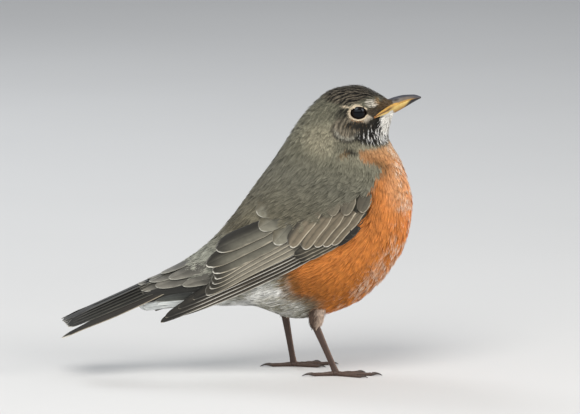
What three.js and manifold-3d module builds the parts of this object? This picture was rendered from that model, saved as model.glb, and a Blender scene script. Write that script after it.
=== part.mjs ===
// An American robin, standing alert, at life size. Millimetres, +Z up. The bill points along +X, and the
// bird's right side faces -Y. The bird is drawn about the point on the ground between its feet; the last
// lines move the origin to the middle of the model's footprint.
import * as THREE from "three";
import Module from "manifold-3d";
import { mergeVertices } from "three/addons/utils/BufferGeometryUtils.js";

const wasm = await Module();
wasm.setup();

// ---------- driving dimensions ----------

const GAP = 0.3; // clearance between neighbouring pieces

// The feathered body, from the bill's base to the end of the tail coverts. A station is a plane across
// the body: its top and low points in the side view [x, z], its half width, and where it is widest,
// from -1 at its low point to 1 at its top.
const BODY = [
  { name: "bill base", top: [50.3, 154.4], low: [53.0, 147.4], half: 4.4, widest: -0.05 },
  { name: "forehead", top: [43.6, 158.2], low: [51.7, 143.2], half: 7.7, widest: -0.05 },
  { name: "crown", top: [32.4, 162.6], low: [50.4, 137.2], half: 10, widest: 0 },
  { name: "hind crown", top: [20.2, 161.3], low: [50.2, 133.6], half: 11, widest: 0 },
  { name: "nape", top: [6.9, 151.9], low: [52.0, 129.0], half: 14.4, widest: -0.1 },
  { name: "hind neck", top: [-2.2, 140.6], low: [57.0, 120.2], half: 18.2, widest: -0.14 },
  { name: "neck base", top: [-8.0, 131.8], low: [61.0, 109.2], half: 22.6, widest: -0.14 },
  { name: "shoulder", top: [-15.4, 120.6], low: [63.7, 95.6], half: 27.4, widest: -0.1 },
  { name: "chest", top: [-27.4, 104.2], low: [60.4, 75.6], half: 31.2, widest: -0.1 },
  { name: "fore belly", top: [-39.8, 87.4], low: [46.6, 53.0], half: 31, widest: -0.1 },
  { name: "belly", top: [-52.2, 74.4], low: [25.0, 36.6], half: 26.4, widest: -0.05 },
  { name: "vent", top: [-63.6, 65.6], low: [-2.0, 31.0], half: 20.4, widest: 0 },
  { name: "under tail", top: [-73.8, 59.3], low: [-29.0, 38.7], half: 15.2, widest: 0.05 },
  { name: "tail coverts", top: [-83.6, 54.2], low: [-60.0, 38.8], half: 11.6, widest: 0.05 },
  { name: "coverts' tips", top: [-91.4, 50.2], low: [-87.0, 37.0], half: 8, widest: 0 },
  { name: "coverts' end", top: [-94.4, 47.6], low: [-92.4, 39.8], half: 3.4, widest: 0 },
];
const SQUARENESS = 2.2; // exponent of the superellipse that each section is; 2 is an ellipse
const HEAD_END = 4.5; // where the head, neck and trunk end, counted in stations
const NECK_END = 6.5;
const TRUNK_END = 12.3;
const RING_SIDES = 22;
const RINGS_PER_STATION = 2;

const EYE = { at: [32.0, 8.9, 148.6], radius: 4.6, depth: 3.4 };

// The bill in the side view: its ridge, its mouth line and the keel of its lower half, and its half width.
const BILL = {
  base: 47.6,
  tip: 68.7,
  culmen: [[47.6, 153.9], [50.3, 154.9], [54.0, 156.1], [59.5, 157.1], [64.5, 156.9], [68.7, 155.5]],
  mouth: [[47.6, 148.7], [50.3, 150.0], [54.0, 151.6], [59.5, 153.6], [64.5, 154.6], [68.7, 155.1]],
  gonys: [[47.6, 145.4], [50.3, 145.9], [54.0, 147.3], [59.5, 150.2], [64.5, 152.8], [68.7, 154.8]],
  half: [[47.6, 4.2], [50.3, 3.9], [54.0, 3.3], [59.5, 2.4], [64.5, 1.4], [68.7, 0.35]],
};

// A folded wing lies in its own plan: a runs from the wrist to the tip of the longest primary, and b
// across it, towards the back.
const WRIST = [37.2, 97.2];
const WINGS = [
  { side: "right", sign: -1, droop: 0.503 }, // how steeply it points down, in radians
  { side: "left", sign: 1, droop: 0.482 },
];
const WING = {
  start: -5,
  end: 135,
  low: [[-5, 6], [2, -3], [12, -9], [24, -10.6], [57, -8.8], [94, -7], [112, -4.4], [124, -2.8], [135, -0.6]],
  high: [[-5, 19], [8, 31], [20, 35.5], [35, 36], [50, 32.6], [66, 27], [79, 23], [89, 20], [97, 13.8],
    [101, 4.6], [111, 3.2], [121, 2.6], [135, 0.7]],
  thick: [[-5, 3.6], [45, 3.6], [80, 2.4], [105, 1.5], [135, 0.9]],
  lift: 2.6, // how far the wing's middle stands out from the body
  step: 0.9, // how far its edges do
  keel: [[-5, 20], [45, 25], [60, 24], [80, 22], [100, 18.6], [120, 15.6], [135, 14]],
  slope: [[-5, 0.9], [60, 0.7], [90, 0.46], [135, 0.4]], // how steeply the free wing leans in
  blend: 2, // how gently the wing leaves the body
  coverts: 56, // where the coverts end and the secondaries show
  secondaries: 101, // where only primaries are left
};

// Six tail feathers a side, from the middle pair outwards. The outer ones hang lower and roll outwards.
const TAIL = {
  pairs: 6,
  root: [-58, 65.9],
  rootDrop: 5,
  rootSide: [1.6, 6],
  tip: [-135.2, 31.4],
  tipDrop: 2.6,
  tipSide: [4.2, 13.6],
  roll: [0.08, 0.75], // radians, at the middle pair and at the outermost
  layer: 0.5, // how far each pair lies below the one inside it
  halfWidth: [[0, 2.8], [0.25, 4.3], [0.7, 6.1], [1, 5.6]],
  notch: 0.035, // how much shorter a feather's edge is than its shaft
  thick: 1.2,
};

const LEGS = [
  { side: "right", sign: -1, heel: [7.2, 13.8, 28.6], foot: [18.4, 17.0] },
  { side: "left", sign: 1, heel: [-7.4, 13.8, 32.0], foot: [-1.9, 17.0] },
];
const THIGH = { rise: [2, -2.5, 19], radius: [[0, 7.4], [0.5, 5.4], [0.85, 3.8], [1, 2.9], [1.1, 1.6]] };
const TARSUS = {
  fore: [[0, 2.3], [0.15, 2.1], [0.6, 1.75], [0.85, 1.7], [1, 2.0]],
  side: [[0, 1.6], [0.15, 1.45], [0.6, 1.2], [0.85, 1.2], [1, 1.5]],
  ankle: 2.2, // height of its lower end
  hub: [2.3, 2.1, 1.8], // the pad that the toes spring from
};
const TOES = [
  { name: "middle", angle: 0.02, length: 18.5, radius: 1.4, joints: 3, claw: 5.8 },
  { name: "inner", angle: -0.5, length: 12.5, radius: 1.25, joints: 2, claw: 4.8 },
  { name: "outer", angle: 0.47, length: 13.5, radius: 1.2, joints: 3, claw: 4.6 },
  { name: "hind", angle: Math.PI - 0.12, length: 10.5, radius: 1.4, joints: 1, claw: 6.8 },
];
const FOOT_TURN = 0.1; // how far the feet point outwards, in radians
const SOLE = 0.18; // how much of a toe's roundness its flat sole takes away

// ---------- small tools ----------

const vector = (x, y, z) => new THREE.Vector3(x, y, z);
const mix = (a, b, t) => a + (b - a) * t;
const spread = (count, each) => Array.from({ length: count }, (_, i) => each(i, i / (count - 1)));

function ease(from, to, x) {
  const t = Math.min(1, Math.max(0, (x - from) / (to - from)));
  return t * t * (3 - 2 * t);
}

// A smooth curve through table [[x, y], ...] that never overshoots its points.
function smooth(table, x) {
  const last = table.length - 1;
  const step = (k) => (table[k + 1][1] - table[k][1]) / (table[k + 1][0] - table[k][0]);
  const tangent = (k) => {
    if (k === 0 || k === last) return step(k === 0 ? 0 : last - 1);
    const [before, after] = [step(k - 1), step(k)];
    return before * after > 0 ? (2 * before * after) / (before + after) : 0;
  };
  let i = 0;
  while (i < last - 1 && x > table[i + 1][0]) i += 1;
  const width = table[i + 1][0] - table[i][0];
  const t = Math.min(1, Math.max(0, (x - table[i][0]) / width));
  const rise = table[i + 1][1] - table[i][1];
  const [leaving, arriving] = [tangent(i) * width, tangent(i + 1) * width];
  return table[i][1] + t * (leaving + t * (3 * rise - 2 * leaving - arriving + t * (leaving + arriving - 2 * rise)));
}

// ---------- solids ----------

// A closed geometry as a manifold-3d solid, turned to face outwards.
function solidOf(geometry) {
  const bare = mergeVertices(geometry.deleteAttribute("normal").deleteAttribute("uv"), 1e-4);
  const vertProperties = new Float32Array(bare.attributes.position.array);
  const triVerts = new Uint32Array(bare.index.array);
  const made = new wasm.Manifold(new wasm.Mesh({ numProp: 3, vertProperties, triVerts }));
  if (made.volume() > 0) return made;
  return new wasm.Manifold(new wasm.Mesh({ numProp: 3, vertProperties, triVerts: triVerts.reverse() }));
}

function geometryOf(points, indices) {
  return new THREE.BufferGeometry().setFromPoints(points).setIndex(indices);
}

function meshOf(name, solid, material) {
  const { numProp, vertProperties, triVerts, numVert } = solid.getMesh();
  const points = Array.from({ length: numVert }, (_, i) => vector().fromArray(vertProperties, i * numProp));
  const mesh = new THREE.Mesh(geometryOf(points, [...triVerts]), material);
  mesh.name = name;
  return mesh;
}

// A closed tube through rings of points, with a fan over each end.
function loft(rings) {
  const sides = rings[0].length;
  const points = rings.flat();
  const faces = [];
  for (let r = 0; r < rings.length - 1; r += 1)
    for (let k = 0; k < sides; k += 1) {
      const [a, b] = [r * sides + k, r * sides + ((k + 1) % sides)];
      faces.push(a, b, b + sides, a, b + sides, a + sides);
    }
  const centre = (ring) => points.push(ring.reduce((sum, p) => sum.add(p), vector()).divideScalar(sides)) - 1;
  const [front, back] = [centre(rings[0]), centre(rings[rings.length - 1])];
  const last = (rings.length - 1) * sides;
  for (let k = 0; k < sides; k += 1) {
    const next = (k + 1) % sides;
    faces.push(next, k, front, last + k, last + next, back);
  }
  return solidOf(geometryOf(points, faces));
}

// A thick sheet between two grids of points that face each other.
function sheet(outer, inner) {
  const [rows, columns] = [outer.length, outer[0].length];
  const points = [...outer.flat(), ...inner.flat()];
  const under = rows * columns;
  const faces = [];
  const quad = (a, b, c, d) => faces.push(a, b, c, a, c, d);
  for (let i = 0; i < rows - 1; i += 1)
    for (let j = 0; j < columns - 1; j += 1) {
      const a = i * columns + j;
      const [b, c, d] = [a + 1, a + columns + 1, a + columns];
      quad(a, b, c, d);
      quad(under + d, under + c, under + b, under + a);
    }
  const rim = [];
  for (let j = 0; j < columns - 1; j += 1) rim.push(j);
  for (let i = 0; i < rows - 1; i += 1) rim.push(i * columns + columns - 1);
  for (let j = columns - 1; j > 0; j -= 1) rim.push((rows - 1) * columns + j);
  for (let i = rows - 1; i > 0; i -= 1) rim.push(i * columns);
  rim.forEach((a, k) => quad(a, under + a, under + rim[(k + 1) % rim.length], rim[(k + 1) % rim.length]));
  return solidOf(geometryOf(points, faces));
}

// A tube along points, whose section is an ellipse: level across, and square to both the other way.
function tube(points, radii, sides) {
  return loft(points.map((p, i) => {
    const ahead = points[Math.min(i + 1, points.length - 1)];
    const along = ahead.clone().sub(points[Math.max(i - 1, 0)]).normalize();
    const across = Math.abs(along.z) > 0.8 ? vector(0, 1, 0) : vector(-along.y, along.x, 0).normalize();
    const up = along.clone().cross(across).normalize();
    const [level, upright] = radii[i];
    return Array.from({ length: sides }, (_, k) => {
      const turn = (2 * Math.PI * k) / sides;
      return p.clone().addScaledVector(across, level * Math.cos(turn)).addScaledVector(up, upright * Math.sin(turn));
    });
  }));
}

// Everything on one side of a plane across the side view: it passes through (x, z) and faces [nx, nz].
function beyond([x, z], [nx, nz]) {
  const side = new THREE.BoxGeometry(400, 200, 400).translate(200, 0, 0);
  return solidOf(side.rotateY(Math.atan2(-nz, nx)).translate(x, 0, z));
}

const ABOVE_GROUND = beyond([0, 0], [0, 1]);

// ---------- the body ----------

const track = (pick) => BODY.map((station, i) => [i, pick(station)]);
const OUTLINE = {
  topX: track((s) => s.top[0]),
  topZ: track((s) => s.top[1]),
  lowX: track((s) => s.low[0]),
  lowZ: track((s) => s.low[1]),
  half: track((s) => s.half),
  widest: track((s) => s.widest),
};

// The plane across the body at station s: its middle, its upward direction, and its half sizes.
function section(s) {
  const [topX, topZ] = [smooth(OUTLINE.topX, s), smooth(OUTLINE.topZ, s)];
  const [lowX, lowZ] = [smooth(OUTLINE.lowX, s), smooth(OUTLINE.lowZ, s)];
  const height = Math.hypot(topX - lowX, topZ - lowZ) / 2;
  return {
    middle: [(topX + lowX) / 2, (topZ + lowZ) / 2],
    up: [(topX - lowX) / (2 * height), (topZ - lowZ) / (2 * height)],
    height,
    half: smooth(OUTLINE.half, s),
    widest: smooth(OUTLINE.widest, s),
  };
}

// The body's ring at station s; grow makes it larger all round.
function bodyRing(s, grow) {
  const { middle, up, height, half, widest } = section(s);
  const power = (v) => Math.sign(v) * Math.abs(v) ** (2 / SQUARENESS);
  return Array.from({ length: RING_SIDES }, (_, k) => {
    const turn = (2 * Math.PI * k) / RING_SIDES;
    const c = power(Math.cos(turn));
    const t = (c + widest * (1 - c * c)) * (height + grow);
    return vector(middle[0] + up[0] * t, power(Math.sin(turn)) * (half + grow), middle[1] + up[1] * t);
  });
}

function wholeBody(grow = 0) {
  const count = (BODY.length - 1) * RINGS_PER_STATION + 1;
  return loft(Array.from({ length: count }, (_, i) => bodyRing(i / RINGS_PER_STATION, grow)));
}

// How far the body's side stands from the middle plane at (x, z) of the side view, or 0 outside it.
function bodySide(x, z) {
  const place = (s) => {
    const { middle, up, height, half, widest } = section(s);
    const [dx, dz] = [x - middle[0], z - middle[1]];
    return { behind: up[0] * dz - up[1] * dx, t: (dx * up[0] + dz * up[1]) / height, half, widest };
  };
  let [low, high] = [0, BODY.length - 1];
  if (place(low).behind < 0 || place(high).behind > 0) return 0;
  for (let i = 0; i < 24; i += 1) {
    const middle = (low + high) / 2;
    if (place(middle).behind > 0) low = middle;
    else high = middle;
  }
  const { t, half, widest } = place(low);
  if (Math.abs(t) >= 1) return 0;
  const c = Math.abs(widest) < 1e-3 ? t : (1 - Math.sqrt(1 - 4 * widest * (t - widest))) / (2 * widest);
  return half * Math.max(0, 1 - Math.abs(c) ** SQUARENESS) ** (1 / SQUARENESS);
}

// The side of station s that faces the bill (way 1) or the tail (way -1), half a gap away from it.
function halfSpace(s, way) {
  const { middle, up } = section(s);
  const normal = [way * up[1], -way * up[0]];
  return beyond([middle[0] + (normal[0] * GAP) / 2, middle[1] + (normal[1] * GAP) / 2], normal);
}

// ---------- head pieces ----------

function eyeball(sign, grow = 0) {
  const ball = new THREE.SphereGeometry(1, 14, 8).rotateX(Math.PI / 2);
  const radius = EYE.radius + grow;
  ball.scale(radius, EYE.depth + grow, radius).translate(EYE.at[0], sign * EYE.at[1], EYE.at[2]);
  return solidOf(ball);
}

// Half of the bill, between the mouth line and an edge curve above (way 1) or below it (way -1).
function mandible(edge, way, grow = 0) {
  const [rows, sides] = [8, 9];
  return loft(spread(rows, (_, f) => {
    const x = mix(BILL.base - grow, BILL.tip + grow, f);
    const mouth = smooth(BILL.mouth, x) + way * (GAP / 2 - grow);
    const rise = smooth(edge, x) + way * (0.12 + grow) - mouth;
    const half = smooth(BILL.half, x) + grow;
    return spread(sides, (_k, t) => {
      const level = Math.cos(Math.PI * t);
      return vector(x, half * (0.65 * level + 0.35 * level ** 3), mouth + rise * Math.sin(Math.PI * t));
    });
  }));
}

// ---------- wings ----------

const alongWing = ({ droop }) => [-Math.cos(droop), -Math.sin(droop)];
const acrossWing = ({ droop }) => [-Math.sin(droop), Math.cos(droop)];

// The wing's outer side at (a, b): it lies on the body, and leaves it where the body curves away.
function wingSide(wing, a, b) {
  const [x, z] = [0, 1].map((i) => WRIST[i] + alongWing(wing)[i] * a + acrossWing(wing)[i] * b);
  const inside = Math.min(smooth(WING.high, a) - b, b - smooth(WING.low, a) + 4, a + 8);
  const onBody = bodySide(x, z) + mix(WING.step, WING.lift, ease(0, 9, inside));
  const free = smooth(WING.keel, a) - smooth(WING.slope, a) * b;
  return { x, z, y: (onBody + free + Math.hypot(onBody - free, WING.blend)) / 2 };
}

function wholeWing(wing, grow = 0) {
  const [outer, inner] = [[], []];
  const rim = (t) => (t === 0 ? -grow : 0) + (t === 1 ? grow : 0);
  spread(20, (_, f) => {
    const a = mix(WING.start, WING.end, f);
    const [low, high] = [smooth(WING.low, a), smooth(WING.high, a)];
    const thick = smooth(WING.thick, a) + grow;
    const line = spread(8, (_k, t) => wingSide(wing, a + rim(f), mix(low, high, t) + rim(t)));
    outer.push(line.map((p) => vector(p.x, wing.sign * (p.y + grow), p.z)));
    inner.push(line.map((p) => vector(p.x, wing.sign * (p.y - thick), p.z)));
  });
  return sheet(outer, inner);
}

// The length of a wing between two places along it, half a gap short of each.
function wingPart(wing, from, to) {
  const along = alongWing(wing);
  const place = (a) => WRIST.map((start, i) => start + along[i] * a);
  const after = beyond(place(from + GAP / 2), along);
  return wholeWing(wing).intersect(after).intersect(beyond(place(to - GAP / 2), along.map((v) => -v)));
}

// ---------- tail ----------

// The tail feathers of one side: at gives the point of a feather's upper face that lies y from the middle
// plane, t of the way to its tip, and edge gives the y of its outer edge there.
function tailFeathers(sign) {
  return spread(TAIL.pairs, (pair, f) => {
    const root = vector(TAIL.root[0], mix(...TAIL.rootSide, f), TAIL.root[1] - TAIL.rootDrop * f);
    const tip = vector(TAIL.tip[0], mix(...TAIL.tipSide, f), TAIL.tip[1] - TAIL.tipDrop * f ** 1.5);
    const roll = mix(...TAIL.roll, f);
    const at = (t, y, depth) => {
      const shaft = root.clone().lerp(tip, t);
      const out = y - shaft.y;
      const z = shaft.z - out * Math.tan(roll) - TAIL.layer * pair - depth * Math.cos(roll);
      return vector(shaft.x, sign * (y - depth * Math.sin(roll)), z);
    };
    const edge = (t) => mix(root.y, tip.y, t) + smooth(TAIL.halfWidth, t) * Math.cos(roll);
    return { at, edge };
  });
}

// All the tail feathers as one stepped fan, whose cross section is an arch.
function tailFan() {
  const half = (sign, t, depth) => tailFeathers(sign).flatMap((feather, pair, all) => {
    const shorter = t * (1 - TAIL.notch);
    const inner = pair === 0 ? [] : [feather.at(t, all[pair - 1].edge(t), depth)];
    return [...inner, feather.at(shorter, feather.edge(t), depth)];
  });
  const grid = (depth) => spread(7, (_, t) => {
    const [middle] = tailFeathers(1);
    const ridge = middle.at(t, 0, depth).setY(0);
    return [...half(-1, t, depth).reverse(), ridge, ...half(1, t, depth)];
  });
  return sheet(grid(0), grid(TAIL.thick));
}

// ---------- legs ----------

const heelOf = ({ sign, heel }) => vector(heel[0], sign * heel[1], heel[2]);
const footOf = ({ sign, foot }) => vector(foot[0], sign * foot[1], 0);

function thigh(leg) {
  const rise = vector(THIGH.rise[0], leg.sign * THIGH.rise[1], THIGH.rise[2]);
  const top = heelOf(leg).add(rise);
  const steps = [0, 0.35, 0.6, 0.8, 1, 1.1];
  const radii = steps.map((t) => smooth(THIGH.radius, t));
  return tube(steps.map((t) => top.clone().addScaledVector(rise, -t)), radii.map((r) => [r * 0.85, r]), 10);
}

function tarsus(leg, grow = 0) {
  const ankle = footOf(leg).setZ(TARSUS.ankle);
  const steps = [0.04, 0.12, 0.3, 0.6, 0.85, 1];
  const width = (t) => [smooth(TARSUS.side, t) + grow, smooth(TARSUS.fore, t) + grow];
  const shank = tube(steps.map((t) => heelOf(leg).lerp(ankle, t)), steps.map(width), 8);
  const hub = new THREE.SphereGeometry(1, 10, 6).scale(...TARSUS.hub.map((r) => r + grow));
  return shank.add(solidOf(hub.translate(ankle.x, ankle.y, TARSUS.hub[2] * (1 - SOLE)))).intersect(ABOVE_GROUND);
}

// A place on a toe's line, at a distance from the foot's middle and a height.
function toeLine(leg, toe) {
  const turn = leg.sign * (toe.angle + FOOT_TURN);
  return (distance, height) => footOf(leg).add(
    vector(Math.cos(turn) * distance, Math.sin(turn) * distance, height));
}

function toeOf(leg, toe) {
  const place = toeLine(leg, toe);
  const radius = (t) => toe.radius * mix(1, 0.72, t) * (1 + 0.06 * Math.cos(2 * Math.PI * toe.joints * t));
  const distance = (t) => mix(TARSUS.hub[0] * 0.7, TARSUS.hub[0] + toe.length, t);
  const count = 2 * toe.joints + 2;
  const points = spread(count, (_, t) => place(distance(t), radius(t) * (1 - SOLE)));
  return tube(points, spread(count, (_, t) => [radius(t), radius(t)]), 8).intersect(ABOVE_GROUND);
}

// The space beside the middle toe, on the side where another front toe lies.
function besideMiddle(leg, toe) {
  const [middleToe] = TOES;
  const way = leg.sign * Math.sign(toe.angle - middleToe.angle);
  const space = new THREE.BoxGeometry(200, 200, 200).translate(0, way * (100 + GAP + middleToe.radius * 1.06), 0);
  return solidOf(space.rotateZ(leg.sign * (middleToe.angle + FOOT_TURN)).translate(...footOf(leg)));
}

function clawOf(leg, toe) {
  const place = toeLine(leg, toe);
  const start = TARSUS.hub[0] + toe.length + GAP;
  const base = toe.radius * 0.64;
  const height = (t) => Math.max(0.3, base + 0.2 + toe.claw * (0.27 * t - 0.4 * t * t));
  const points = spread(6, (_, t) => place(start + toe.claw * 0.9 * t, height(t)));
  return tube(points, spread(6, (_, t) => [base * mix(0.95, 0.2, t), base * mix(1.1, 0.24, t)]), 6)
    .intersect(ABOVE_GROUND);
}

// ---------- assembly ----------

const finish = (color, roughness) => new THREE.MeshStandardMaterial({ color, roughness, metalness: 0 });
const FINISH = {
  head: finish(0x4c4b43, 0.9),
  neck: finish(0x8a8774, 0.9),
  trunk: finish(0xc07c42, 0.9),
  coverts: finish(0x716f62, 0.8),
  flight: finish(0x55534a, 0.7),
  tail: finish(0x45443d, 0.7),
  thigh: finish(0xb4a992, 0.9),
  eye: finish(0x0c0806, 0.1),
  upperBill: finish(0x6f5a35, 0.4),
  lowerBill: finish(0xd2a84e, 0.4),
  leg: finish(0x4a332b, 0.6),
  claw: finish(0x241a16, 0.4),
};
const SIDES = { right: -1, left: 1 };
const model = new THREE.Group();
const add = (name, solid, material) => model.add(meshOf(name, solid, material));

const carvers = WINGS.map((wing) => wholeWing(wing, GAP));
const carve = (solid) => carvers.reduce((rest, wing) => rest.subtract(wing), solid);
const body = carve(wholeBody());

function addHead() {
  let head = body.intersect(halfSpace(HEAD_END, 1));
  head = head.subtract(mandible(BILL.culmen, 1, GAP)).subtract(mandible(BILL.gonys, -1, GAP));
  for (const sign of Object.values(SIDES)) head = head.subtract(eyeball(sign, GAP));
  add("head", head, FINISH.head);
  add("bill_upper", mandible(BILL.culmen, 1), FINISH.upperBill);
  add("bill_lower", mandible(BILL.gonys, -1), FINISH.lowerBill);
  for (const [side, sign] of Object.entries(SIDES)) add(`eye_${side}`, eyeball(sign), FINISH.eye);
}

function addTrunk() {
  const between = (from, to) => body.intersect(halfSpace(from, -1)).intersect(halfSpace(to, 1));
  add("neck", between(HEAD_END, NECK_END), FINISH.neck);
  add("trunk", between(NECK_END, TRUNK_END), FINISH.trunk);
}

function addTail() {
  const tail = body.add(tailFan()).intersect(halfSpace(TRUNK_END, -1));
  add("tail", carve(tail), FINISH.tail);
}

function addWings() {
  for (const wing of WINGS) {
    add(`wing_coverts_${wing.side}`, wingPart(wing, WING.start - GAP, WING.coverts), FINISH.coverts);
    add(`wing_secondaries_${wing.side}`, wingPart(wing, WING.coverts, WING.secondaries), FINISH.flight);
    add(`wing_primaries_${wing.side}`, wingPart(wing, WING.secondaries, WING.end + GAP), FINISH.flight);
  }
}

function addLegs() {
  const grown = wholeBody(GAP);
  for (const leg of LEGS) {
    const around = tarsus(leg, GAP);
    add(`thigh_${leg.side}`, thigh(leg).subtract(grown).subtract(around), FINISH.thigh);
    add(`tarsus_${leg.side}`, tarsus(leg).subtract(grown), FINISH.leg);
    TOES.forEach((toe) => {
      const whole = toeOf(leg, toe).subtract(around);
      const sideToe = toe.name === "inner" || toe.name === "outer";
      add(`toe_${toe.name}_${leg.side}`, sideToe ? whole.intersect(besideMiddle(leg, toe)) : whole, FINISH.leg);
      add(`claw_${toe.name}_${leg.side}`, clawOf(leg, toe), FINISH.claw);
    });
  }
}

addHead();
addTrunk();
addTail();
addWings();
addLegs();

const box = new THREE.Box3().setFromObject(model);
const middle = box.getCenter(vector());
model.position.set(-middle.x, -middle.y, -box.min.z);

export default model;
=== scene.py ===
"""An American robin standing alert, at life size: skin, feathers, bill, eyes and feet, light and camera.

Sizes are in millimetres, in the bird's own axes: +X to the bill, -Y to its right side, +Z up, from the ground
between its feet. Piece.build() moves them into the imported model's frame, in metres.
"""
import math
from collections import namedtuple
from types import SimpleNamespace

import bpy
import numpy as np
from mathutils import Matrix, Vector


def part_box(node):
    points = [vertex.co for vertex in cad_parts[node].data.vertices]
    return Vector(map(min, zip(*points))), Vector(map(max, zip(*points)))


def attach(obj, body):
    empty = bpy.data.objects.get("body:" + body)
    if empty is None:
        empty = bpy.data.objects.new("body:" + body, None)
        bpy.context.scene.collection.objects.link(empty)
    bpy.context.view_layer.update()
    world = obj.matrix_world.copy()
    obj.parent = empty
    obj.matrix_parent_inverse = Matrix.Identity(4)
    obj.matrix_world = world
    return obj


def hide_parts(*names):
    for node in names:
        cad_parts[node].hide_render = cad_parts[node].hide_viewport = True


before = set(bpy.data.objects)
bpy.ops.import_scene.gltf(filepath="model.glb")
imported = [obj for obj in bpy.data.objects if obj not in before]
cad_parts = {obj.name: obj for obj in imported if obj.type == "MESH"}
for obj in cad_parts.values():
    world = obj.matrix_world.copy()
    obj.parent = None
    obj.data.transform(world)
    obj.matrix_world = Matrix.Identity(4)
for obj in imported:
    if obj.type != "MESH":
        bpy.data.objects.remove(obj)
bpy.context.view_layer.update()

MM = 0.001
SIDES = {"right": -1, "left": 1}

# ---------- sizes shared with the solids ----------

# The feathered body's stations: top x and z, low x and z, half width, and where it is widest.
STATIONS = [
    (50.3, 154.4, 53.0, 147.4, 4.4, -0.05),  # 0 bill base
    (43.6, 158.2, 51.7, 143.2, 7.7, -0.05),
    (32.4, 162.6, 50.4, 137.2, 10.0, 0.0),  # 2 crown
    (20.2, 161.3, 50.2, 133.6, 11.0, 0.0),
    (6.9, 151.9, 52.0, 129.0, 14.4, -0.1),  # 4 nape
    (-2.2, 140.6, 57.0, 120.2, 18.2, -0.14),
    (-8.0, 131.8, 61.0, 109.2, 22.6, -0.14),  # 6 neck base
    (-15.4, 120.6, 63.7, 95.6, 27.4, -0.1),
    (-27.4, 104.2, 60.4, 75.6, 31.2, -0.1),  # 8 chest
    (-39.8, 87.4, 46.6, 53.0, 31.0, -0.1),
    (-52.2, 74.4, 25.0, 36.6, 26.4, -0.05),  # 10 belly
    (-63.6, 65.6, -2.0, 31.0, 20.4, 0.0),
    (-73.8, 59.3, -29.0, 38.7, 15.2, 0.05),  # 12 under the tail
    (-83.6, 54.2, -60.0, 38.8, 11.6, 0.05),
    (-91.4, 50.2, -87.0, 37.0, 8.0, 0.0),  # 14 tips of the coverts
    (-94.4, 47.6, -92.4, 39.8, 3.4, 0.0),
]
LAST = len(STATIONS) - 1
SQUARENESS = 2.2

EYE = (32.0, 8.9, 148.6)
EYE_RADIUS = 4.6
EYE_DEPTH = 3.4

# The bill's stations: x, z of its ridge, of the mouth and of its keel, and half width.
BILL = [
    (47.6, 153.9, 148.7, 145.4, 4.2),
    (50.3, 154.9, 150.0, 145.9, 3.9),
    (54.0, 156.1, 151.6, 147.3, 3.3),
    (59.5, 157.1, 153.6, 150.2, 2.4),
    (64.5, 156.9, 154.6, 152.8, 1.4),
    (68.7, 155.5, 155.1, 154.8, 0.35),
]
CULMEN, MOUTH, GONYS, BILL_HALF = ([(row[0], row[k]) for row in BILL] for k in range(1, 5))
BILL_BASE, BILL_TIP = BILL[0][0], BILL[-1][0]

WRIST = (37.2, 97.2)
DROOP = {"right": 0.503, "left": 0.482}
WING_LOW = [(-5, 6), (2, -3), (12, -9), (24, -10.6), (57, -8.8), (94, -7), (112, -4.4), (124, -2.8),
            (135, -0.6)]
WING_HIGH = [(-5, 19), (8, 31), (20, 35.5), (35, 36), (50, 32.6), (66, 27), (79, 23), (89, 20), (97, 13.8),
             (101, 4.6), (111, 3.2), (121, 2.6), (135, 0.7)]
WING_LIFT, WING_STEP, WING_BLEND = 2.6, 0.9, 2.0
WING_KEEL = [(-5, 20), (45, 25), (60, 24), (80, 22), (100, 18.6), (120, 15.6), (135, 14)]
WING_SLOPE = [(-5, 0.9), (60, 0.7), (90, 0.46), (135, 0.4)]

TAIL_PAIRS = 6
TAIL_ROOT, TAIL_TIP = (-58.0, 65.9), (-135.2, 31.4)
TAIL_ROOT_SIDE, TAIL_TIP_SIDE = (1.6, 6.0), (4.2, 13.6)
TAIL_ROOT_DROP, TAIL_TIP_DROP = 5.0, 2.6
TAIL_ROLL = (0.08, 0.75)
TAIL_LAYER = 0.5

HEEL = {"right": (7.2, 13.8, 28.6), "left": (-7.4, 13.8, 32.0)}
FOOT = {"right": (18.4, 17.0), "left": (-1.9, 17.0)}
THIGH_RISE = (2.0, -2.5, 19.0)
THIGH_RADIUS = [(0, 7.4), (0.5, 5.4), (0.85, 3.8), (1, 2.9), (1.1, 1.6)]
SHANK_FORE = [(0, 2.3), (0.15, 2.1), (0.6, 1.75), (0.85, 1.7), (1, 2.0)]
SHANK_SIDE = [(0, 1.6), (0.15, 1.45), (0.6, 1.2), (0.85, 1.2), (1, 1.5)]
ANKLE = 2.2
HUB = (2.3, 2.1, 1.8)
TOES = {  # angle, length, radius, joints, claw
    "middle": (0.02, 18.5, 1.4, 3, 5.8),
    "inner": (-0.5, 12.5, 1.25, 2, 4.8),
    "outer": (0.47, 13.5, 1.2, 3, 4.6),
    "hind": (math.pi - 0.12, 10.5, 1.4, 1, 6.8),
}
FOOT_TURN = 0.1
SOLE = 0.18

# The solids' origin is under the middle of the model, and the bird's is between its feet.
eye_low, eye_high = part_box("eye_right")
FRAME_SHIFT = np.array([(eye_low.x + eye_high.x) / 2 / MM - EYE[0], 0, 0])

# ---------- small tools ----------


def ease(start, end, x):
    """0 before start and 1 after end, with a smooth change between them; start may be the larger."""
    t = np.clip((x - start) / (end - start), 0, 1)
    return t * t * (3 - 2 * t)


def mix(a, b, t):
    """From a, where t is 0, to b, where t is 1."""
    return a + (b - a) * t


def blend(a, b, t):
    """Colours a and b, mixed by an array of shares."""
    return mix(a, b, np.asarray(t)[..., None])


def peak(x, middle, width, power=2):
    """A bump that is 1 at the middle and fades out over the width."""
    return np.exp(-(((x - middle) / width) ** power))


def join(*parts):
    """Points from their coordinates, each of them a number or an array."""
    return np.stack(np.broadcast_arrays(*parts), -1)


def dot(a, b):
    """Products of vectors, kept as columns."""
    return np.sum(a * b, -1, keepdims=True)


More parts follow.
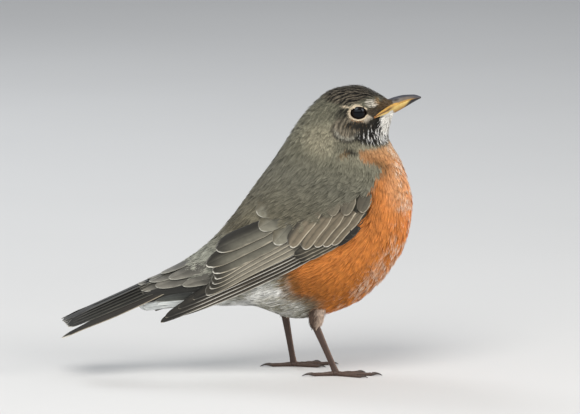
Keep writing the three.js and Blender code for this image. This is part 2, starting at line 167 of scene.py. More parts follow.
def unit(v):
    """Vectors at length 1."""
    return v / np.maximum(np.linalg.norm(v, axis=-1, keepdims=True), 1e-9)


def circle(count):
    """Angles evenly round a circle."""
    return 2 * math.pi * np.arange(count) / count


def smooth(table, x):
    """A smooth curve through [(x, y), ...] that never overshoots its points."""
    px, py = np.array(table, float).T
    step = np.diff(py) / np.diff(px)
    product, total = step[:-1] * step[1:], step[:-1] + step[1:]
    inner = np.where(product > 0, 2 * product / np.where(product > 0, total, 1), 0)
    tangent = np.concatenate(([step[0]], inner, [step[-1]]))
    i = np.clip(np.searchsorted(px, x, side="right") - 1, 0, len(px) - 2)
    width, rise = px[i + 1] - px[i], py[i + 1] - py[i]
    t = np.clip((x - px[i]) / width, 0, 1)
    leaving, arriving = tangent[i] * width, tangent[i + 1] * width
    cubic = leaving + arriving - 2 * rise
    return py[i] + t * (leaving + t * (3 * rise - 2 * leaving - arriving + t * cubic))


def read_off(keys, rows, x):
    """Rows of numbers, one for each key, read off in straight lines between the keys."""
    return join(*(np.interp(x, keys, column) for column in zip(*rows)))


def rgb(*values):
    """A display colour, 0 to 255, as linear light."""
    v = np.array(values, float) / 255
    return np.where(v <= 0.04045, v / 12.92, ((v + 0.055) / 1.055) ** 2.4)


# ---------- the body's surface ----------

TRACKS = [[(i, station[k]) for i, station in enumerate(STATIONS)] for k in range(6)]


def section(s):
    """The plane across the body at station s: its middle, its upward direction and its half sizes."""
    top_x, top_z, low_x, low_z, half, widest = (smooth(track, s) for track in TRACKS)
    height = np.hypot(top_x - low_x, top_z - low_z) / 2
    middle = join(top_x + low_x, top_z + low_z) / 2
    up = join(top_x - low_x, top_z - low_z) / (2 * height[..., None])
    return middle, up, height, half, widest


def squared(v):
    """A cosine or sine, pushed out towards a square's."""
    return np.sign(v) * np.abs(v) ** (2 / SQUARENESS)


def body(s, turn, out):
    """A point on the body: station s, angle from its ridge, left positive, and out mm from the surface."""
    middle, up, height, half, widest = section(s)
    c = squared(np.cos(turn))
    t = (c + widest * (1 - c * c)) * (height + out)
    side = squared(np.sin(turn)) * (half + out)
    return join(middle[..., 0] + up[..., 0] * t, side, middle[..., 1] + up[..., 1] * t)


def body_side(x, z):
    """How far the body's side stands from the middle plane at (x, z) of the side view, or 0 outside it."""
    low, high = np.zeros_like(x), np.full_like(x, LAST)

    def place(s):
        middle, up, height, half, widest = section(s)
        dx, dz = x - middle[..., 0], z - middle[..., 1]
        return up[..., 0] * dz - up[..., 1] * dx, (dx * up[..., 0] + dz * up[..., 1]) / height, half, widest

    beyond = (place(low)[0] < 0) | (place(high)[0] > 0)
    for _ in range(18):
        middle = (low + high) / 2
        behind = place(middle)[0] > 0
        low, high = np.where(behind, middle, low), np.where(behind, high, middle)
    _, t, half, widest = place(low)
    even = np.abs(widest) < 1e-3
    safe = np.where(even, 1, widest)
    c = np.where(even, t, (1 - np.sqrt(np.maximum(0, 1 - 4 * safe * (t - safe)))) / (2 * safe))
    side = half * np.maximum(0, 1 - np.abs(np.clip(c, -1, 1)) ** SQUARENESS) ** (1 / SQUARENESS)
    return np.where(beyond | (np.abs(t) >= 1), 0, side)


# ---------- the wings' surface ----------

WING_TRIM = {"right": 2.5, "left": -1.5}  # how far its feathers reach past the upper outline of the solid
WING_LEAN = 1.1  # how far sideways a millimetre out of the wing goes


def wing_plan(side, p):
    """The wing's own plan: a runs from the wrist to the longest primary's tip, b across it to the back."""
    cos, sin = math.cos(DROOP[side]), math.sin(DROOP[side])
    dx, dz = p[..., 0] - WRIST[0], p[..., 2] - WRIST[1]
    return -(dx * cos + dz * sin), dz * cos - dx * sin


def wing_inside(a, b):
    """How far inside the folded wing's outline a place is, negative outside it."""
    return np.minimum(np.minimum(smooth(WING_HIGH, a) - b, b - smooth(WING_LOW, a) + 4), a + 8)


def wing_rise(inside):
    """How high the wing stands over the body, by how far inside its outline a place is."""
    return mix(WING_STEP, WING_LIFT, ease(0, 9, inside))


def wing(side):
    """The surface of one folded wing, as a function of its plan and of how far out a point is."""
    cos, sin = math.cos(DROOP[side]), math.sin(DROOP[side])

    def surface(a, b, out):
        x, z = WRIST[0] - cos * a - sin * b, WRIST[1] - sin * a + cos * b
        on_body = body_side(x, z) + wing_rise(wing_inside(a, b))
        free = smooth(WING_KEEL, a) - smooth(WING_SLOPE, a) * b
        y = (on_body + free + np.hypot(on_body - free, WING_BLEND)) / 2
        return join(x, SIDES[side] * (y + out * WING_LEAN), z)

    return surface


# ---------- the coat's surface ----------

LID_AT = (EYE[0] - 0.15, EYE[2] + 0.05)
LID = (4.6, 3.5)  # half the length and height of the opening between the eyelids
LID_RISE = 0.95
SNOUT = 7.0  # mm of the bill that one station's length of feathers covers


def eye_distance(p):
    """Distance from the eye's centre in the side view, where 1 is the rim of the lids."""
    return np.hypot((p[..., 0] - LID_AT[0]) / LID[0], (p[..., 2] - LID_AT[1]) / LID[1])


def lid_swell(p):
    """How far the eyelids stand out from the head."""
    return LID_RISE * (1 - ease(0.9, 2.1, eye_distance(p)))


def face(s, turn, out):
    """The body with the swelling of the eyelids."""
    p = body(s, turn, out)
    p[..., 1] += np.sign(p[..., 1]) * lid_swell(p)
    return p


def draped(s, turn, out):
    """The body as the coat lies over it: it climbs over the shoulder of the folded wing."""
    p = face(s, turn, out)
    for side, sign in SIDES.items():
        a, b = wing_plan(side, p)
        inside = wing_inside(a, b)
        lift = np.where(inside < 0, WING_STEP * ease(-7, 0, inside), wing_rise(inside))
        lift *= (1 - ease(62, 78, a)) * ease(0, 6, np.abs(p[..., 1]))
        p[..., 1] += np.where(p[..., 1] * sign > 0, sign * lift, 0)
    return p


def snout(s, turn, out):
    """The head's surface, carried on forward over the bill's base where s is below 0."""
    p = face(np.maximum(s, 0), turn, out)
    ahead = SNOUT * np.maximum(-s, 0)
    p[..., 0] += ahead
    p[..., 1] *= 1 - 0.065 * np.minimum(ahead, 4)
    p[..., 2] += mix(0.34, 0.1, downward(turn)) * ahead
    return p


def downward(turn):
    """0 at the ridge of the back, 1 at the keel."""
    return (1 - np.cos(turn)) / 2


def between(tables, s, turn):
    """A measure that changes along the body, from one table for its back and one for its underside."""
    back, belly = tables
    return mix(smooth(back, s), smooth(belly, s), downward(turn))


# The coat's measures by station; those with two tables have one for the back and one for the underside.
COAT_DEPTH = [(0, 0.35), (1, 0.5), (2, 0.8), (3, 1.1), (4.5, 1.9), (6, 2.6), (8, 3.0), (12, 2.6), (14, 1.5),
              (15, 0.8)]
TIP_RISE = ([(0, 1.1), (0.5, 2.0), (1.4, 1.9), (2.2, 1.3), (3, 1.0), (4.5, 1.1), (6, 0.4), (9.5, 0.4),
             (10.6, 0.9), (11.5, -0.3), (15, -0.3)],
            [(0, 0.2), (3, 0.4), (5, 0.8), (7, 0.6), (8.5, 1.2), (10, 1.0), (12, 1.0), (15, 0.6)])
ROOT_GAP = ([(0, 0.62), (1, 0.75), (3, 0.95), (4.5, 1.3), (6, 1.75), (8, 2.0), (11, 2.0), (13, 2.3),
             (15, 2.8)],
            [(0, 0.62), (2, 0.75), (4, 1.0), (6, 1.7), (8, 2.1), (10, 2.1), (12, 2.2), (15, 2.8)])
LENGTH = ([(0, 2.4), (1, 3.6), (2, 5.0), (3, 5.5), (4.5, 7.5), (6, 10), (8, 13), (11, 11), (13, 14),
           (15, 16)],
          [(0, 1.8), (1, 2.8), (2, 4.0), (4, 6.0), (6, 10), (8, 13), (10, 16), (12, 18), (14, 22), (15, 22)])
HALF_WIDTH = ([(0, 0.4), (2, 0.55), (3, 0.8), (4.5, 1.5), (6, 2.3), (8, 3.0), (11, 3.0), (15, 4.0)],
              [(0, 0.4), (2, 0.5), (4, 1.0), (6, 2.3), (8, 3.0), (11, 3.2), (15, 4.0)])

# ---------- markings ----------

BLACK = rgb(0, 0, 0)
CROWN_DARK = rgb(14, 13, 12)
CROWN_PALE = rgb(108, 100, 87)
NAPE = rgb(108, 106, 91)
NECK_SIDE = rgb(157, 151, 129)
MANTLE = rgb(112, 110, 97)
SCAPULAR = rgb(105, 99, 82)
RUMP = rgb(158, 159, 147)
TAIL_COVERT = rgb(106, 103, 95)
EAR = rgb(150, 140, 122)
BLACKISH = rgb(34, 32, 28)
BROWN = rgb(112, 88, 58)
LORE = rgb(70, 61, 49)
SUPRALORAL = rgb(236, 228, 214)
BUFF = rgb(170, 128, 76)
LID_GREY = rgb(186, 176, 160)
RING = rgb(220, 203, 176)
RING_ORANGE = rgb(204, 148, 100)
CHIN = rgb(250, 247, 240)
BREAST = rgb(215, 134, 66)
BREAST_PALE = rgb(210, 152, 104)
BREAST_TOP = rgb(194, 147, 103)
BREAST_LOW = rgb(186, 112, 42)
BREAST_FRINGE = rgb(238, 222, 202)
FLANK = rgb(118, 90, 50)
WHITE = rgb(250, 250, 246)
VENT_SHADE = rgb(142, 138, 118)
TAIL_SHADE = rgb(78, 80, 78)
TAIL_DARK = rgb(38, 37, 33)
FRINGE_GREY = rgb(170, 168, 156)

BACK_STOPS = {0: NAPE, 3.2: NAPE, 4.6: NAPE * 1.38, 6.2: NAPE * 1.2, 7.2: MANTLE, 9.2: SCAPULAR, 10.3: RUMP,
              12.6: RUMP, 13.6: TAIL_COVERT, 15: TAIL_COVERT}  # the upper parts' colours, by station

# Edges of the markings in the side view.
ORANGE_BACK = [(28, 6), (36, 3), (42, -2), (50, -9.5), (62, -12), (75, 0), (88, 18), (95, 33), (104, 36.5),
               (110, 40), (114, 43), (117.5, 45), (120.4, 39), (123, 33), (128, 31), (134, 36)]  # x against z
ORANGE_TOP = [(28, 127.8), (40, 128.6), (47.5, 129.8), (52, 133)]
CROWN_LOW = [(8, 156), (13, 155), (19, 153.4), (25, 152.6), (31, 154), (38, 156.5), (43, 157), (50, 154)]
UNDER_TAIL = [(-92, 38.4), (-73.5, 45.4), (-59.5, 49.4), (-50, 52)]
THROAT_LOW = [(29, 134), (33, 131.6), (38, 130.2), (47, 130.6), (52, 133.5)]
THROAT_TOP = [(28, 136.5), (36, 138.5), (42, 143.5), (45, 147), (52, 149.8)]
GAPE_LOW = [(40.8, 145.3), (46.3, 147.0), (52.4, 149.0), (56.5, 150.6)]
GAPE_TOP = [(40.8, 146.3), (46.3, 150.0), (52.4, 152.7), (56.5, 153.6)]
# How far the eye-ring reaches, in mm, by degrees up from the front.
RING_REACH = [(-180, 6.1), (-165, 6.2), (-150, 5.6), (-124, 4.7), (-77, 4.8), (-60, 6.0), (-45, 7.3),
              (-30, 8.0), (-18, 8.4), (-9, 4.2), (22, 4.2), (30, 5.0), (40, 4.9), (48, 3.6), (60, 3.6),
              (75, 4.7), (100, 4.9), (122, 5.5), (138, 5.6), (165, 5.9), (180, 6.1)]


def blob(x, z, middle, radii, tilt=0.0, soft=0.35):
    """1 inside an ellipse in the side view, 0 outside it."""
    dx, dz = x - middle[0], z - middle[1]
    cos, sin = math.cos(tilt), math.sin(tilt)
    d = np.hypot((dx * cos + dz * sin) / radii[0], (dz * cos - dx * sin) / radii[1])
    return 1 - ease(1 - soft, 1 + soft, d)


def marked(c, x, z, marks):
    """The colours c under marks: each is a colour, its share, and a blob's middle, radii, tilt and soft."""
    for colour, share, *ellipse in marks:
        c = blend(c, colour, share * blob(x, z, *ellipse))
    return c


def is_orange(p):
    """The share of the orange of the breast and flanks."""
    x, z = p[..., 0], p[..., 2]
    behind = ease(-1, 1, (x - smooth(ORANGE_BACK, z)) / mix(3.2, 1.4, ease(58, 66, z)))
    return behind * (1 - ease(-0.7, 0.7, z - smooth(ORANGE_TOP, x))) * ease(20, 28, z)


def plumage(p, s, turn, blade):
    """The coat's colour at points p; blade.tone and blade.strip, 0 to 1, shade each feather and strip."""
    x, z, down, orange = p[..., 0], p[..., 2], downward(turn), is_orange(p)
    c = read_off(list(BACK_STOPS), BACK_STOPS.values(), s)
    side = ease(0.25, 0.6, down) * ease(3.6, 5.2, s) * (1 - ease(5.6, 6.8, s)) * ease(117, 126, z)
    c = blend(c, NECK_SIDE, 0.8 * np.maximum(side, blob(x, z, (10, 133.5), (9, 8), 0, 0.6)))
    breast = blend(BREAST, BREAST_LOW, 1 - ease(34, 80, z - 0.25 * x))
    breast = marked(breast, x, z, [(BREAST_PALE, 1, (57, 109), (11, 15), 0, 0.6)])
    top = BREAST_TOP * mix(0.86, 1, ease(40, 48, x))[..., None]
    c = blend(c, blend(breast, top, ease(114, 128, z)), orange)
    # Painted light and shade: the breast is lightened along its front edge, which faces away from the lamps,
    # and darkened along the orange's hind edge, partly the grey between its feathers and partly painted shade
    # in the gaps. The three patches below lighten the coat over the wing, painted light where it lies in
    # shade.
    hind = 1 - ease(3, 12, x - smooth(ORANGE_BACK, z))
    gain = 1 + orange * (0.42 * ease(0.84, 0.97, down) - 0.28 * hind)
    for more, *ellipse in ((0.4, (-29, 92), (6.5, 5.5), 0.8, 0.5), (0.3, (-6, 87), (8, 4.5), 0.4, 0.5),
                           (0.3, (-26, 86), (5, 4), 0.6, 0.5)):
        gain = gain * (1 + more * (1 - orange) * blob(x, z, *ellipse))
    # The first three marks are painted shade: the wing's bend shadowing the breast, the low end of the vent,
    # and the belly above the legs. The brown is the feathers' own.
    c = marked(c * gain[..., None], x, z, [
        (BLACK, 0.16 * orange, (38, 88), (5, 10), -0.2, 0.5),
        (VENT_SHADE * 0.72, 0.85, (-1, 40), (10, 6.5), 0, 0.5),
        (BLACK, 0.25 * orange, (2, 50), (12, 8), 0, 0.5),
        (BROWN, 0.75 * orange, (42, 118), (6, 5), -0.3, 0.5)])
    tail_end = ease(11.2, 12.2, s)
    under = mix(ease(0.3, 0.55, down), 1 - ease(-0.7, 0.7, z - smooth(UNDER_TAIL, x)), tail_end)
    under *= (1 - orange) * (1 - ease(12, 18, x)) * ease(9, 10.2, s)
    dusk = ease(0.25, 0.7, 0.5 * blade.strip + 0.5 * blade.tone)
    # Painted shade greys the white underparts behind the legs, under the wing's edge and towards the tail,
    # more on some feathers than on others.
    shade = np.maximum(blob(x, z, (-9, 38), (19, 8), -0.2), blob(x, z, (-16, 55), (8, 3.5), 0.6))
    shade = np.maximum(shade, blob(x, z, (-38, 46.5), (11, 4), 0.3))
    c = blend(c, blend(WHITE, VENT_SHADE, (0.3 + 0.65 * dusk) * shade), under)
    flank = (0.7 + 0.3 * dusk) * (1 - 0.5 * orange) * ease(9, 9.6, s)
    c = marked(c, x, z, [
        (FLANK, flank, (-9.5, 53.5), (5.5, 10.5), 0.3),
        (TAIL_SHADE, 0.9 * under, (-64, 44.5), (9.5, 2.8), 0.35)])
    c = blend(c, TAIL_DARK, tail_end * ease(53, 51.4, z) * (1 - under))
    # Painted shadow of the wing's tips on the coat beneath them.
    c = marked(c, x, z, [(TAIL_DARK * 1.3, 0.85, (-54.5, 54), (7.5, 3.2), 0.86)])
    return head_colour(c, x, z, s, turn, blade)


def flecks(s, turn, blade):
    """The fine streaks of the head, 0 to 1: ripples along the feathers, shifted from strip to strip."""
    below = ease(0.3, 0.6, downward(turn))
    across, along = mix(6, 11, ease(0, 1.4, s)) * turn, 10 * s
    ripple = 0.5 + 0.3 * np.sin(mix(4.0, 6.6, below) * across + 1.2 * np.sin(0.7 * along + 0.9 * across))
    ripple += 0.24 * np.sin(6.3 * across - 0.8 * along + 1.4 * np.sin(0.45 * along))
    return (mix(0.66, 0.3, below) * ripple + mix(0.16, 0.25, below) * blade.tone
            + mix(0.18, 0.45, below) * blade.strip)


def head_colour(c, x, z, s, turn, blade):
    """The head's markings over the coat's colour, drawn in the side view."""
    fleck = flecks(s, turn, blade)
    head = 1 - ease(4.4, 5.4, s)
    c = blend(c, c * mix(0.68, 1.2, fleck)[..., None], head)
    crown = ease(-1.0, 1.4, z - smooth(CROWN_LOW, x)) * ease(5, 19, x + 0.3 * (z - 155)) * head
    c = blend(c, blend(CROWN_DARK, CROWN_PALE, ease(0.45, 0.62, fleck)), crown)
    c = marked(c, x, z, [
        (blend(BLACKISH, NAPE, 0.5 * ease(0.5, 0.8, fleck)), 0.95, (24.3, 146.0), (5.6, 6.8), 0.0, 0.4),
        (blend(EAR * 0.26, EAR * 0.84, ease(0.2, 0.75, fleck)), 1, (24.3, 139.4), (8.4, 6.6), 0, 0.2),
        (BLACK, 0.28, (26, 132), (9, 4.5), 0.1, 0.5),
        (BLACKISH, 0.6 * ease(0.75, 0.5, fleck), (30.5, 136.4), (3.6, 3.6), 0, 0.5)])
    arc, lower = np.hypot(x - 25, z - 142), 1 - ease(137, 142, z)
    c = blend(c, FRINGE_GREY, 0.8 * lower * peak(arc, 7.6, 0.7) * (x < 32))
    c = blend(c, BLACKISH, 0.95 * lower * peak(arc, 8.9, 0.65) * (x < 34))
    streaked = blend(BLACKISH, BROWN, ease(0.7, 0.8, fleck))
    # The first mark is a painted shadow in the crease of the neck. The brown beside it is the feathers' own.
    c = marked(c, x, z, [
        (BLACKISH, 1, (26.5, 126.9), (4.4, 1.5), -0.3, 0.5),
        (BROWN, 0.9, (22.5, 125.8), (3.2, 1.1), 0.3, 0.5),
        (streaked, 0.95, (39.6, 141.6), (9.6, 4.3), 0.32),
        (streaked, 0.9, (31.0, 141.9), (8.0, 2.4), 0.05)])
    throat = ease(28, 30.5, x) * ease(-0.6, 0.6, z - smooth(THROAT_LOW, x))
    throat *= (1 - ease(-1.6, 1.6, z - smooth(THROAT_TOP, x))) * head
    chin = ease(42.6, 46.4, x)
    pale = np.clip(0.04 + 0.024 * (x - 31), 0, 0.38) * (1 - 0.8 * ease(138, 141.5, z) * (1 - chin))
    pale += 0.5 * chin * ease(132, 141, z)
    c = blend(c, blend(BLACKISH * 0.8, CHIN, fleck > 0.82 - 0.64 * pale), throat)
    c = marked(c, x, z, [
        (blend(LORE * 0.7, LORE * 1.3, fleck), 1, (42.0, 149.8), (5.8, 3.2), 0.35),
        (blend(LORE * 0.7, BROWN, fleck), 1, (48.5, 153.4), (6.0, 2.9), 0.35, 0.3),
        (SUPRALORAL, ease(0.36, 0.5, fleck), (39.3, 153.8), (3.5, 2.0), -0.1, 0.3),
        (BUFF, 0.6 * ease(0.3, 0.5, fleck), (42.6, 154.9), (1.5, 2.0))])
    dx, dz = x - LID_AT[0], z - LID_AT[1]
    reach = np.interp(np.degrees(np.arctan2(dz, dx)), *zip(*RING_REACH))
    tint = marked(RING * 0.92, x, z, [
        (RING_ORANGE, 0.8, (29.5, 144.2), (4.5, 1.4)),
        (LID_GREY, 1, (38.0, 145.2), (3.4, 2.4))])
    c = blend(c, tint, 1 - ease(-0.3, 0.3, np.hypot(dx, dz) - reach + 2.4 * (blade.strip - 0.45)))
    return marked(c, x, z, [(RING, 0.8, (24.2, 152.0), (2.9, 0.5), -0.1, 0.3)])


def fringe(p, s, turn, tone):
    """How strongly a feather's tip is edged with a paler colour, and with which."""
    x, z, down, orange = p[..., 0], p[..., 2], downward(turn), is_orange(p)
    front = ease(0.72, 0.9, down) * (1 - ease(9.8, 10.8, s))
    worn = 0.35 * ease(108, 118, z) + 0.45 * blob(x, z, (42, 55), (17, 15)) + 0.3 * ease(0.93, 0.99, down)
    share = mix((0.15 + 0.45 * ease(10.3, 11, s)) * (1 - ease(11, 11.6, s)),
                0.05 + 0.85 * front * ease(0.55, 0.85, tone + worn), orange)
    share = share * ease(mix(4.2, 3.2, orange), mix(5.2, 3.9, orange), s)
    return share, blend(blend(FRINGE_GREY, WHITE, (down > 0.5) & (s > 9.5)), BREAST_FRINGE, orange)


# ---------- meshes ----------

WHOLE_MAP = (0.02, 0.02, 0.98, 0.98)
PATCH = 0.003  # how wide a small feather is on the OFBake map


def map_row(row, total):
    """One of a number of equal rows on the OFBake map."""
    low = 0.01 + 0.98 * row / total
    return 0.02, low, 0.98, low + 0.88 / total


def fill(target, name, values, kind=np.float32):
    """Sets one property of all of a mesh's points, corners or faces."""
    target.foreach_set(name, np.asarray(values).astype(kind).ravel())


def linked(name, data):
    """A new object in the scene."""
    made = bpy.data.objects.new(name, data)
    bpy.context.scene.collection.objects.link(made)
    return made


class Piece:
    """A mesh under construction, with a colour for each point and an OFBake place for each corner."""

    def __init__(self, name):
        self.name = name
        self.points, self.colours, self.faces, self.corners, self.slots = [], [], [], [], []
        self.count = 0

    def add(self, points, colours, faces, corners, slot=0):
        """points (n, 3), colours (n, 3), triangles (m, 3), and the map's place for each corner (m, 3, 2)."""
        self.points.append(points)
        self.colours.append(colours)
        self.faces.append(faces + self.count)
        self.corners.append(corners)
        self.slots.append(np.full(len(faces), slot))
        self.count += len(points)

    def grid(self, points, colours, chart=WHOLE_MAP, slot=0, ends=True):
        """A tube of points (rows, columns, 3), with its ends closed if asked; chart is its box on the map."""
        rows, columns = points.shape[:2]
        i, j = (v.ravel() for v in np.meshgrid(np.arange(rows - 1), np.arange(columns), indexing="ij"))
        after = (j + 1) % columns
        a, b, c, d = i * columns + j, i * columns + after, (i + 1) * columns + after, (i + 1) * columns + j
        low_u, low_v, high_u, high_v = chart

        def on_map(row, column):
            return join(mix(low_u, high_u, row / (rows - 1)), mix(low_v, high_v, column / columns))

        corner = [on_map(i, j), on_map(i, j + 1), on_map(i + 1, j + 1), on_map(i + 1, j)]
        corners = [np.stack([corner[k] for k in triangle], 1) for triangle in ((0, 1, 2), (0, 2, 3))]
        faces = np.concatenate((join(a, b, c), join(a, c, d)))
        self.add(points.reshape(-1, 3), colours.reshape(-1, 3), faces, np.concatenate(corners), slot)
        if ends:
            for row, turned in ((0, True), (rows - 1, False)):
                self.cap(points[row], colours[row], on_map(row, np.arange(columns)), turned, slot)

    def cap(self, ring, colours, places, turned, slot):
        """A fan over a ring of points."""
        first = np.arange(len(ring))
        after = (first + 1) % len(ring)
        if turned:
            first, after = after, first
        faces = join(first, after, len(ring))
        ring, colours, places = (np.vstack((v, v.mean(0))) for v in (ring, colours, places))
        self.add(ring, colours, faces, places[faces], slot)

    def build(self, materials, slot_name, *nodes):
        """Makes the object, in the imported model's frame, standing for the named CAD nodes."""
        points = (np.concatenate(self.points) + FRAME_SHIFT) * MM
        faces = np.concatenate(self.faces)
        colours = np.clip(np.concatenate(self.colours), 0, 1)
        mesh = bpy.data.meshes.new(self.name)
        mesh.vertices.add(len(points))
        fill(mesh.vertices, "co", points)
        mesh.loops.add(faces.size)
        fill(mesh.loops, "vertex_index", faces, np.int32)
        mesh.polygons.add(len(faces))
        fill(mesh.polygons, "loop_start", np.arange(0, faces.size, 3), np.int32)
        fill(mesh.polygons, "material_index", np.concatenate(self.slots), np.int32)
        mesh.update(calc_edges=True)
        mesh.shade_smooth()
        paint = mesh.attributes.new("plumage", "FLOAT_COLOR", "POINT")
        fill(paint.data, "color", np.column_stack((colours, np.ones(len(colours)))))
        fill(mesh.uv_layers.new(name="OFBake").data, "uv", np.concatenate(self.corners))
        for material in materials:
            mesh.materials.append(MATERIALS[material])
        made = linked(self.name, mesh)
        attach(made, "root")
        if nodes:
            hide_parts(*nodes)


# ---------- soft feathers ----------


def slopes(surface, p, q):
    """How a surface's points move for each unit of its two measures."""
    d = 0.01
    dp = (surface(p + d, q, 0.0) - surface(p - d, q, 0.0)) / (2 * d)
    dq = (surface(p, q + d, 0.0) - surface(p, q - d, 0.0)) / (2 * d)
    return dp, dq


def steps(surface, at, aim):
    """How far to move over a surface's two measures for a millimetre along aim, and for one to its left."""
    p, q = at.T
    dp, dq = slopes(surface, p, q)
    out = unit(np.cross(dp, dq))
    out *= np.sign(dot(out, surface(p, q, 0.5) - surface(p, q, 0.0)))
    ahead = unit(aim - out * dot(aim, out))
    pp, pq, qq = dot(dp, dp), dot(dp, dq), dot(dq, dq)
    area = np.maximum(pp * qq - pq * pq, 1e-9)

    def solve(v):
        a, b = dot(dp, v), dot(dq, v)
        return np.hstack(((qq * a - pq * b) / area, (pp * b - pq * a) / area))

    return solve(ahead), solve(np.cross(out, ahead))


PROBES = 4000  # places looked at to find where a surface has the most room
TRIES = 4.5  # places tried there for each gap-sized square of it


def scatter(surface, p_range, q_range, gap, rng):
    """Places on a surface, at random but no nearer to each other than gap(p, q) mm."""

    def measure(count):
        p, q = rng.uniform(*p_range, count), rng.uniform(*q_range, count)
        apart = gap(p, q)
        return p, q, apart, np.linalg.norm(np.cross(*slopes(surface, p, q)), axis=-1) / apart**2

    crowding = measure(PROBES)[3].max()
    room = (p_range[1] - p_range[0]) * (q_range[1] - q_range[0])
    p, q, apart, density = measure(int(TRIES * room * crowding))
    chosen = rng.random(len(p)) < density / crowding
    p, q, apart = p[chosen], q[chosen], apart[chosen]
    places = surface(p, q, 0.0)
    keys = np.floor(places / apart.max()).astype(int)
    near = [(i, j, k) for i in (-1, 0, 1) for j in (-1, 0, 1) for k in (-1, 0, 1)]
    cells, kept = {}, []
    tries = zip(keys.tolist(), places.tolist(), (apart**2).tolist())
    for n, ((i, j, k), (x, y, z), limit) in enumerate(tries):
        if not any((x - u) ** 2 + (y - v) ** 2 + (z - w) ** 2 < limit
                   for di, dj, dk in near for u, v, w in cells.get((i + di, j + dj, k + dk), ())):
            cells.setdefault((i, j, k), []).append((x, y, z))
            kept.append(n)
    return join(p[kept], q[kept])


STRIP_ROWS = np.array([0.0, 0.35, 0.65, 0.88, 1.0])
STRIP_HALF = np.array([0.5, 1.0, 0.95, 0.6, 0.0])
STRIP_FAN = np.array([0.12, 0.55, 0.88, 1.0, 1.02])
STRIP_FACES = np.array([(0, 1, 3), (0, 3, 2), (2, 3, 5), (2, 5, 4), (4, 5, 7), (4, 7, 6), (6, 7, 8)])
ROW = np.repeat([0, 1, 2, 3, 4], [2, 2, 2, 2, 1])  # the row and the edge of each of a strip's points
EDGE = np.array([-1, 1, -1, 1, -1, 1, -1, 1, 0])


def on_coat(s, turn):
    """The coat's own map: stations run across it and the angle from the ridge runs up it."""
    return join(0.02 + 0.94 * s / LAST, 0.5 + 0.48 * turn / math.pi)


def tufts(piece, surface, at, aim, size, lift, paint, rng, strips, ragged, place=on_coat):
    """Soft feathers: each is a fan of narrow strips that part from its root and end in a ragged round tip.

    size is length, half width and the distance between roots; lift is how high root and tip are.
    """
    length, width, gap, root, tip = (v[:, None, None] for v in (*size, *lift))
    count = len(at)
    each, every = (count, 1, 1), (count, strips, 1)
    along, across = (v[:, None, None] for v in steps(surface, at, aim))
    u = np.linspace(-1, 1, strips)[:, None] + rng.uniform(-0.6, 0.6, every) / strips
    reach = length * (1 - 0.3 * u**2) * (1 - ragged * rng.random(every))
    bend = rng.normal(0, 0.05, each) + rng.normal(0, 0.035, every)
    waves = np.sin(rng.uniform(0, 2 * math.pi, each) + rng.uniform(3, 6, each) * u)
    strip = np.clip(0.25 + 0.25 * waves + 0.5 * rng.random(every), 0, 1)
    height = rng.uniform(-0.14, 0.14, every)
    roll = rng.normal(0, 0.28, every)
    t = STRIP_ROWS[ROW]
    ahead = reach * t
    half = width / strips * 1.25 * STRIP_HALF[ROW]
    beside = width * u * STRIP_FAN[ROW] + EDGE * half + bend * ahead
    places = at[:, None, None] + along * ahead[..., None] + across * beside[..., None]
    rise = tip - root
    out = root + rise * t**0.8 + height * t - 0.25 * rise * u**2 * t + EDGE * half * roll
    points = surface(places[..., 0], places[..., 1], out)
    blade = SimpleNamespace(shown=(1 - t) * reach / gap, strip=strip, tone=rng.random(each),
                            stray=rng.normal(0, 1, (*every, 2)))
    colours = paint(points, places[..., 0], places[..., 1], blade)
    faces = (STRIP_FACES + len(t) * np.arange(count * strips)[:, None, None]).reshape(-1, 3)
    spots = (place(*at.T)[:, None, None] + PATCH * join(t - 0.5, u * 0.45 + EDGE * 0.02)).reshape(-1, 2)
    piece.add(points.reshape(-1, 3), colours.reshape(-1, 3), faces, spots[faces])


def coat_paint(points, s, turn, blade):
    """Small feathers: darker towards the root, toned strip by strip, and edged at the tip."""
    near = ease(1.2, 2.6, eye_distance(points))
    stray = mix(0.1, 0.38, near) * mix(1, 2.2, ease(4.5, 6, s))
    strayed = points.copy()
    strayed[..., [0, 2]] += blade.stray * stray[..., None]
    even = 1 - 0.4 * is_orange(strayed)
    c = plumage(strayed, s, turn, blade)
    c = c * (1 + even * (0.34 * (blade.strip - 0.5) + 0.22 * (blade.tone - 0.5)))[..., None]
    # Darker towards the root: the feathers' own dark bases, and painted shade where the feathers over them
    # cover it.
    c = c * (1.05 - 0.43 * even * ease(0.3, 2.2, blade.shown))[..., None]
    share, colour = fringe(strayed, s, turn, blade.tone)
    wide = ease(0.35, 0.9, share)
    return blend(c, colour, share * (1 - ease(mix(0.15, 0.4, wide), mix(0.6, 1.1, wide), blade.shown)))


# ---------- crisp feathers ----------

VANE_ROWS = np.concatenate((np.linspace(0, 0.72, 13), [0.79, 0.85, 0.9, 0.935, 0.962, 0.982, 0.994, 1.0]))
VANE_COLUMNS = np.array([-1, -0.9, -0.76, -0.55, -0.3, -0.09, 0, 0.09, 0.3, 0.55, 0.76, 0.9, 1])
SHAFT = peak(VANE_COLUMNS, 0, 0.05)


def blade_faces(shape):
    """Triangles of a closed blade: an upper sheet of points, the same sheet again beneath it, and a hem."""
    index = np.arange(shape[0] * shape[1]).reshape(shape)
    corners = index[:-1, :-1], index[:-1, 1:], index[1:, 1:], index[1:, :-1]
    a, b, c, d = (corner.ravel() for corner in corners)
    upper = np.concatenate((join(a, b, c), join(a, c, d)))
    rim = np.concatenate((index[0], index[1:, -1], index[-1, -2::-1], index[-2:0:-1, 0]))
    after = np.roll(rim, -1)
    hem = np.concatenate((join(rim, rim + index.size, after + index.size),
                          join(rim, after + index.size, after)))
    return np.concatenate((upper, upper[:, ::-1] + index.size, hem))


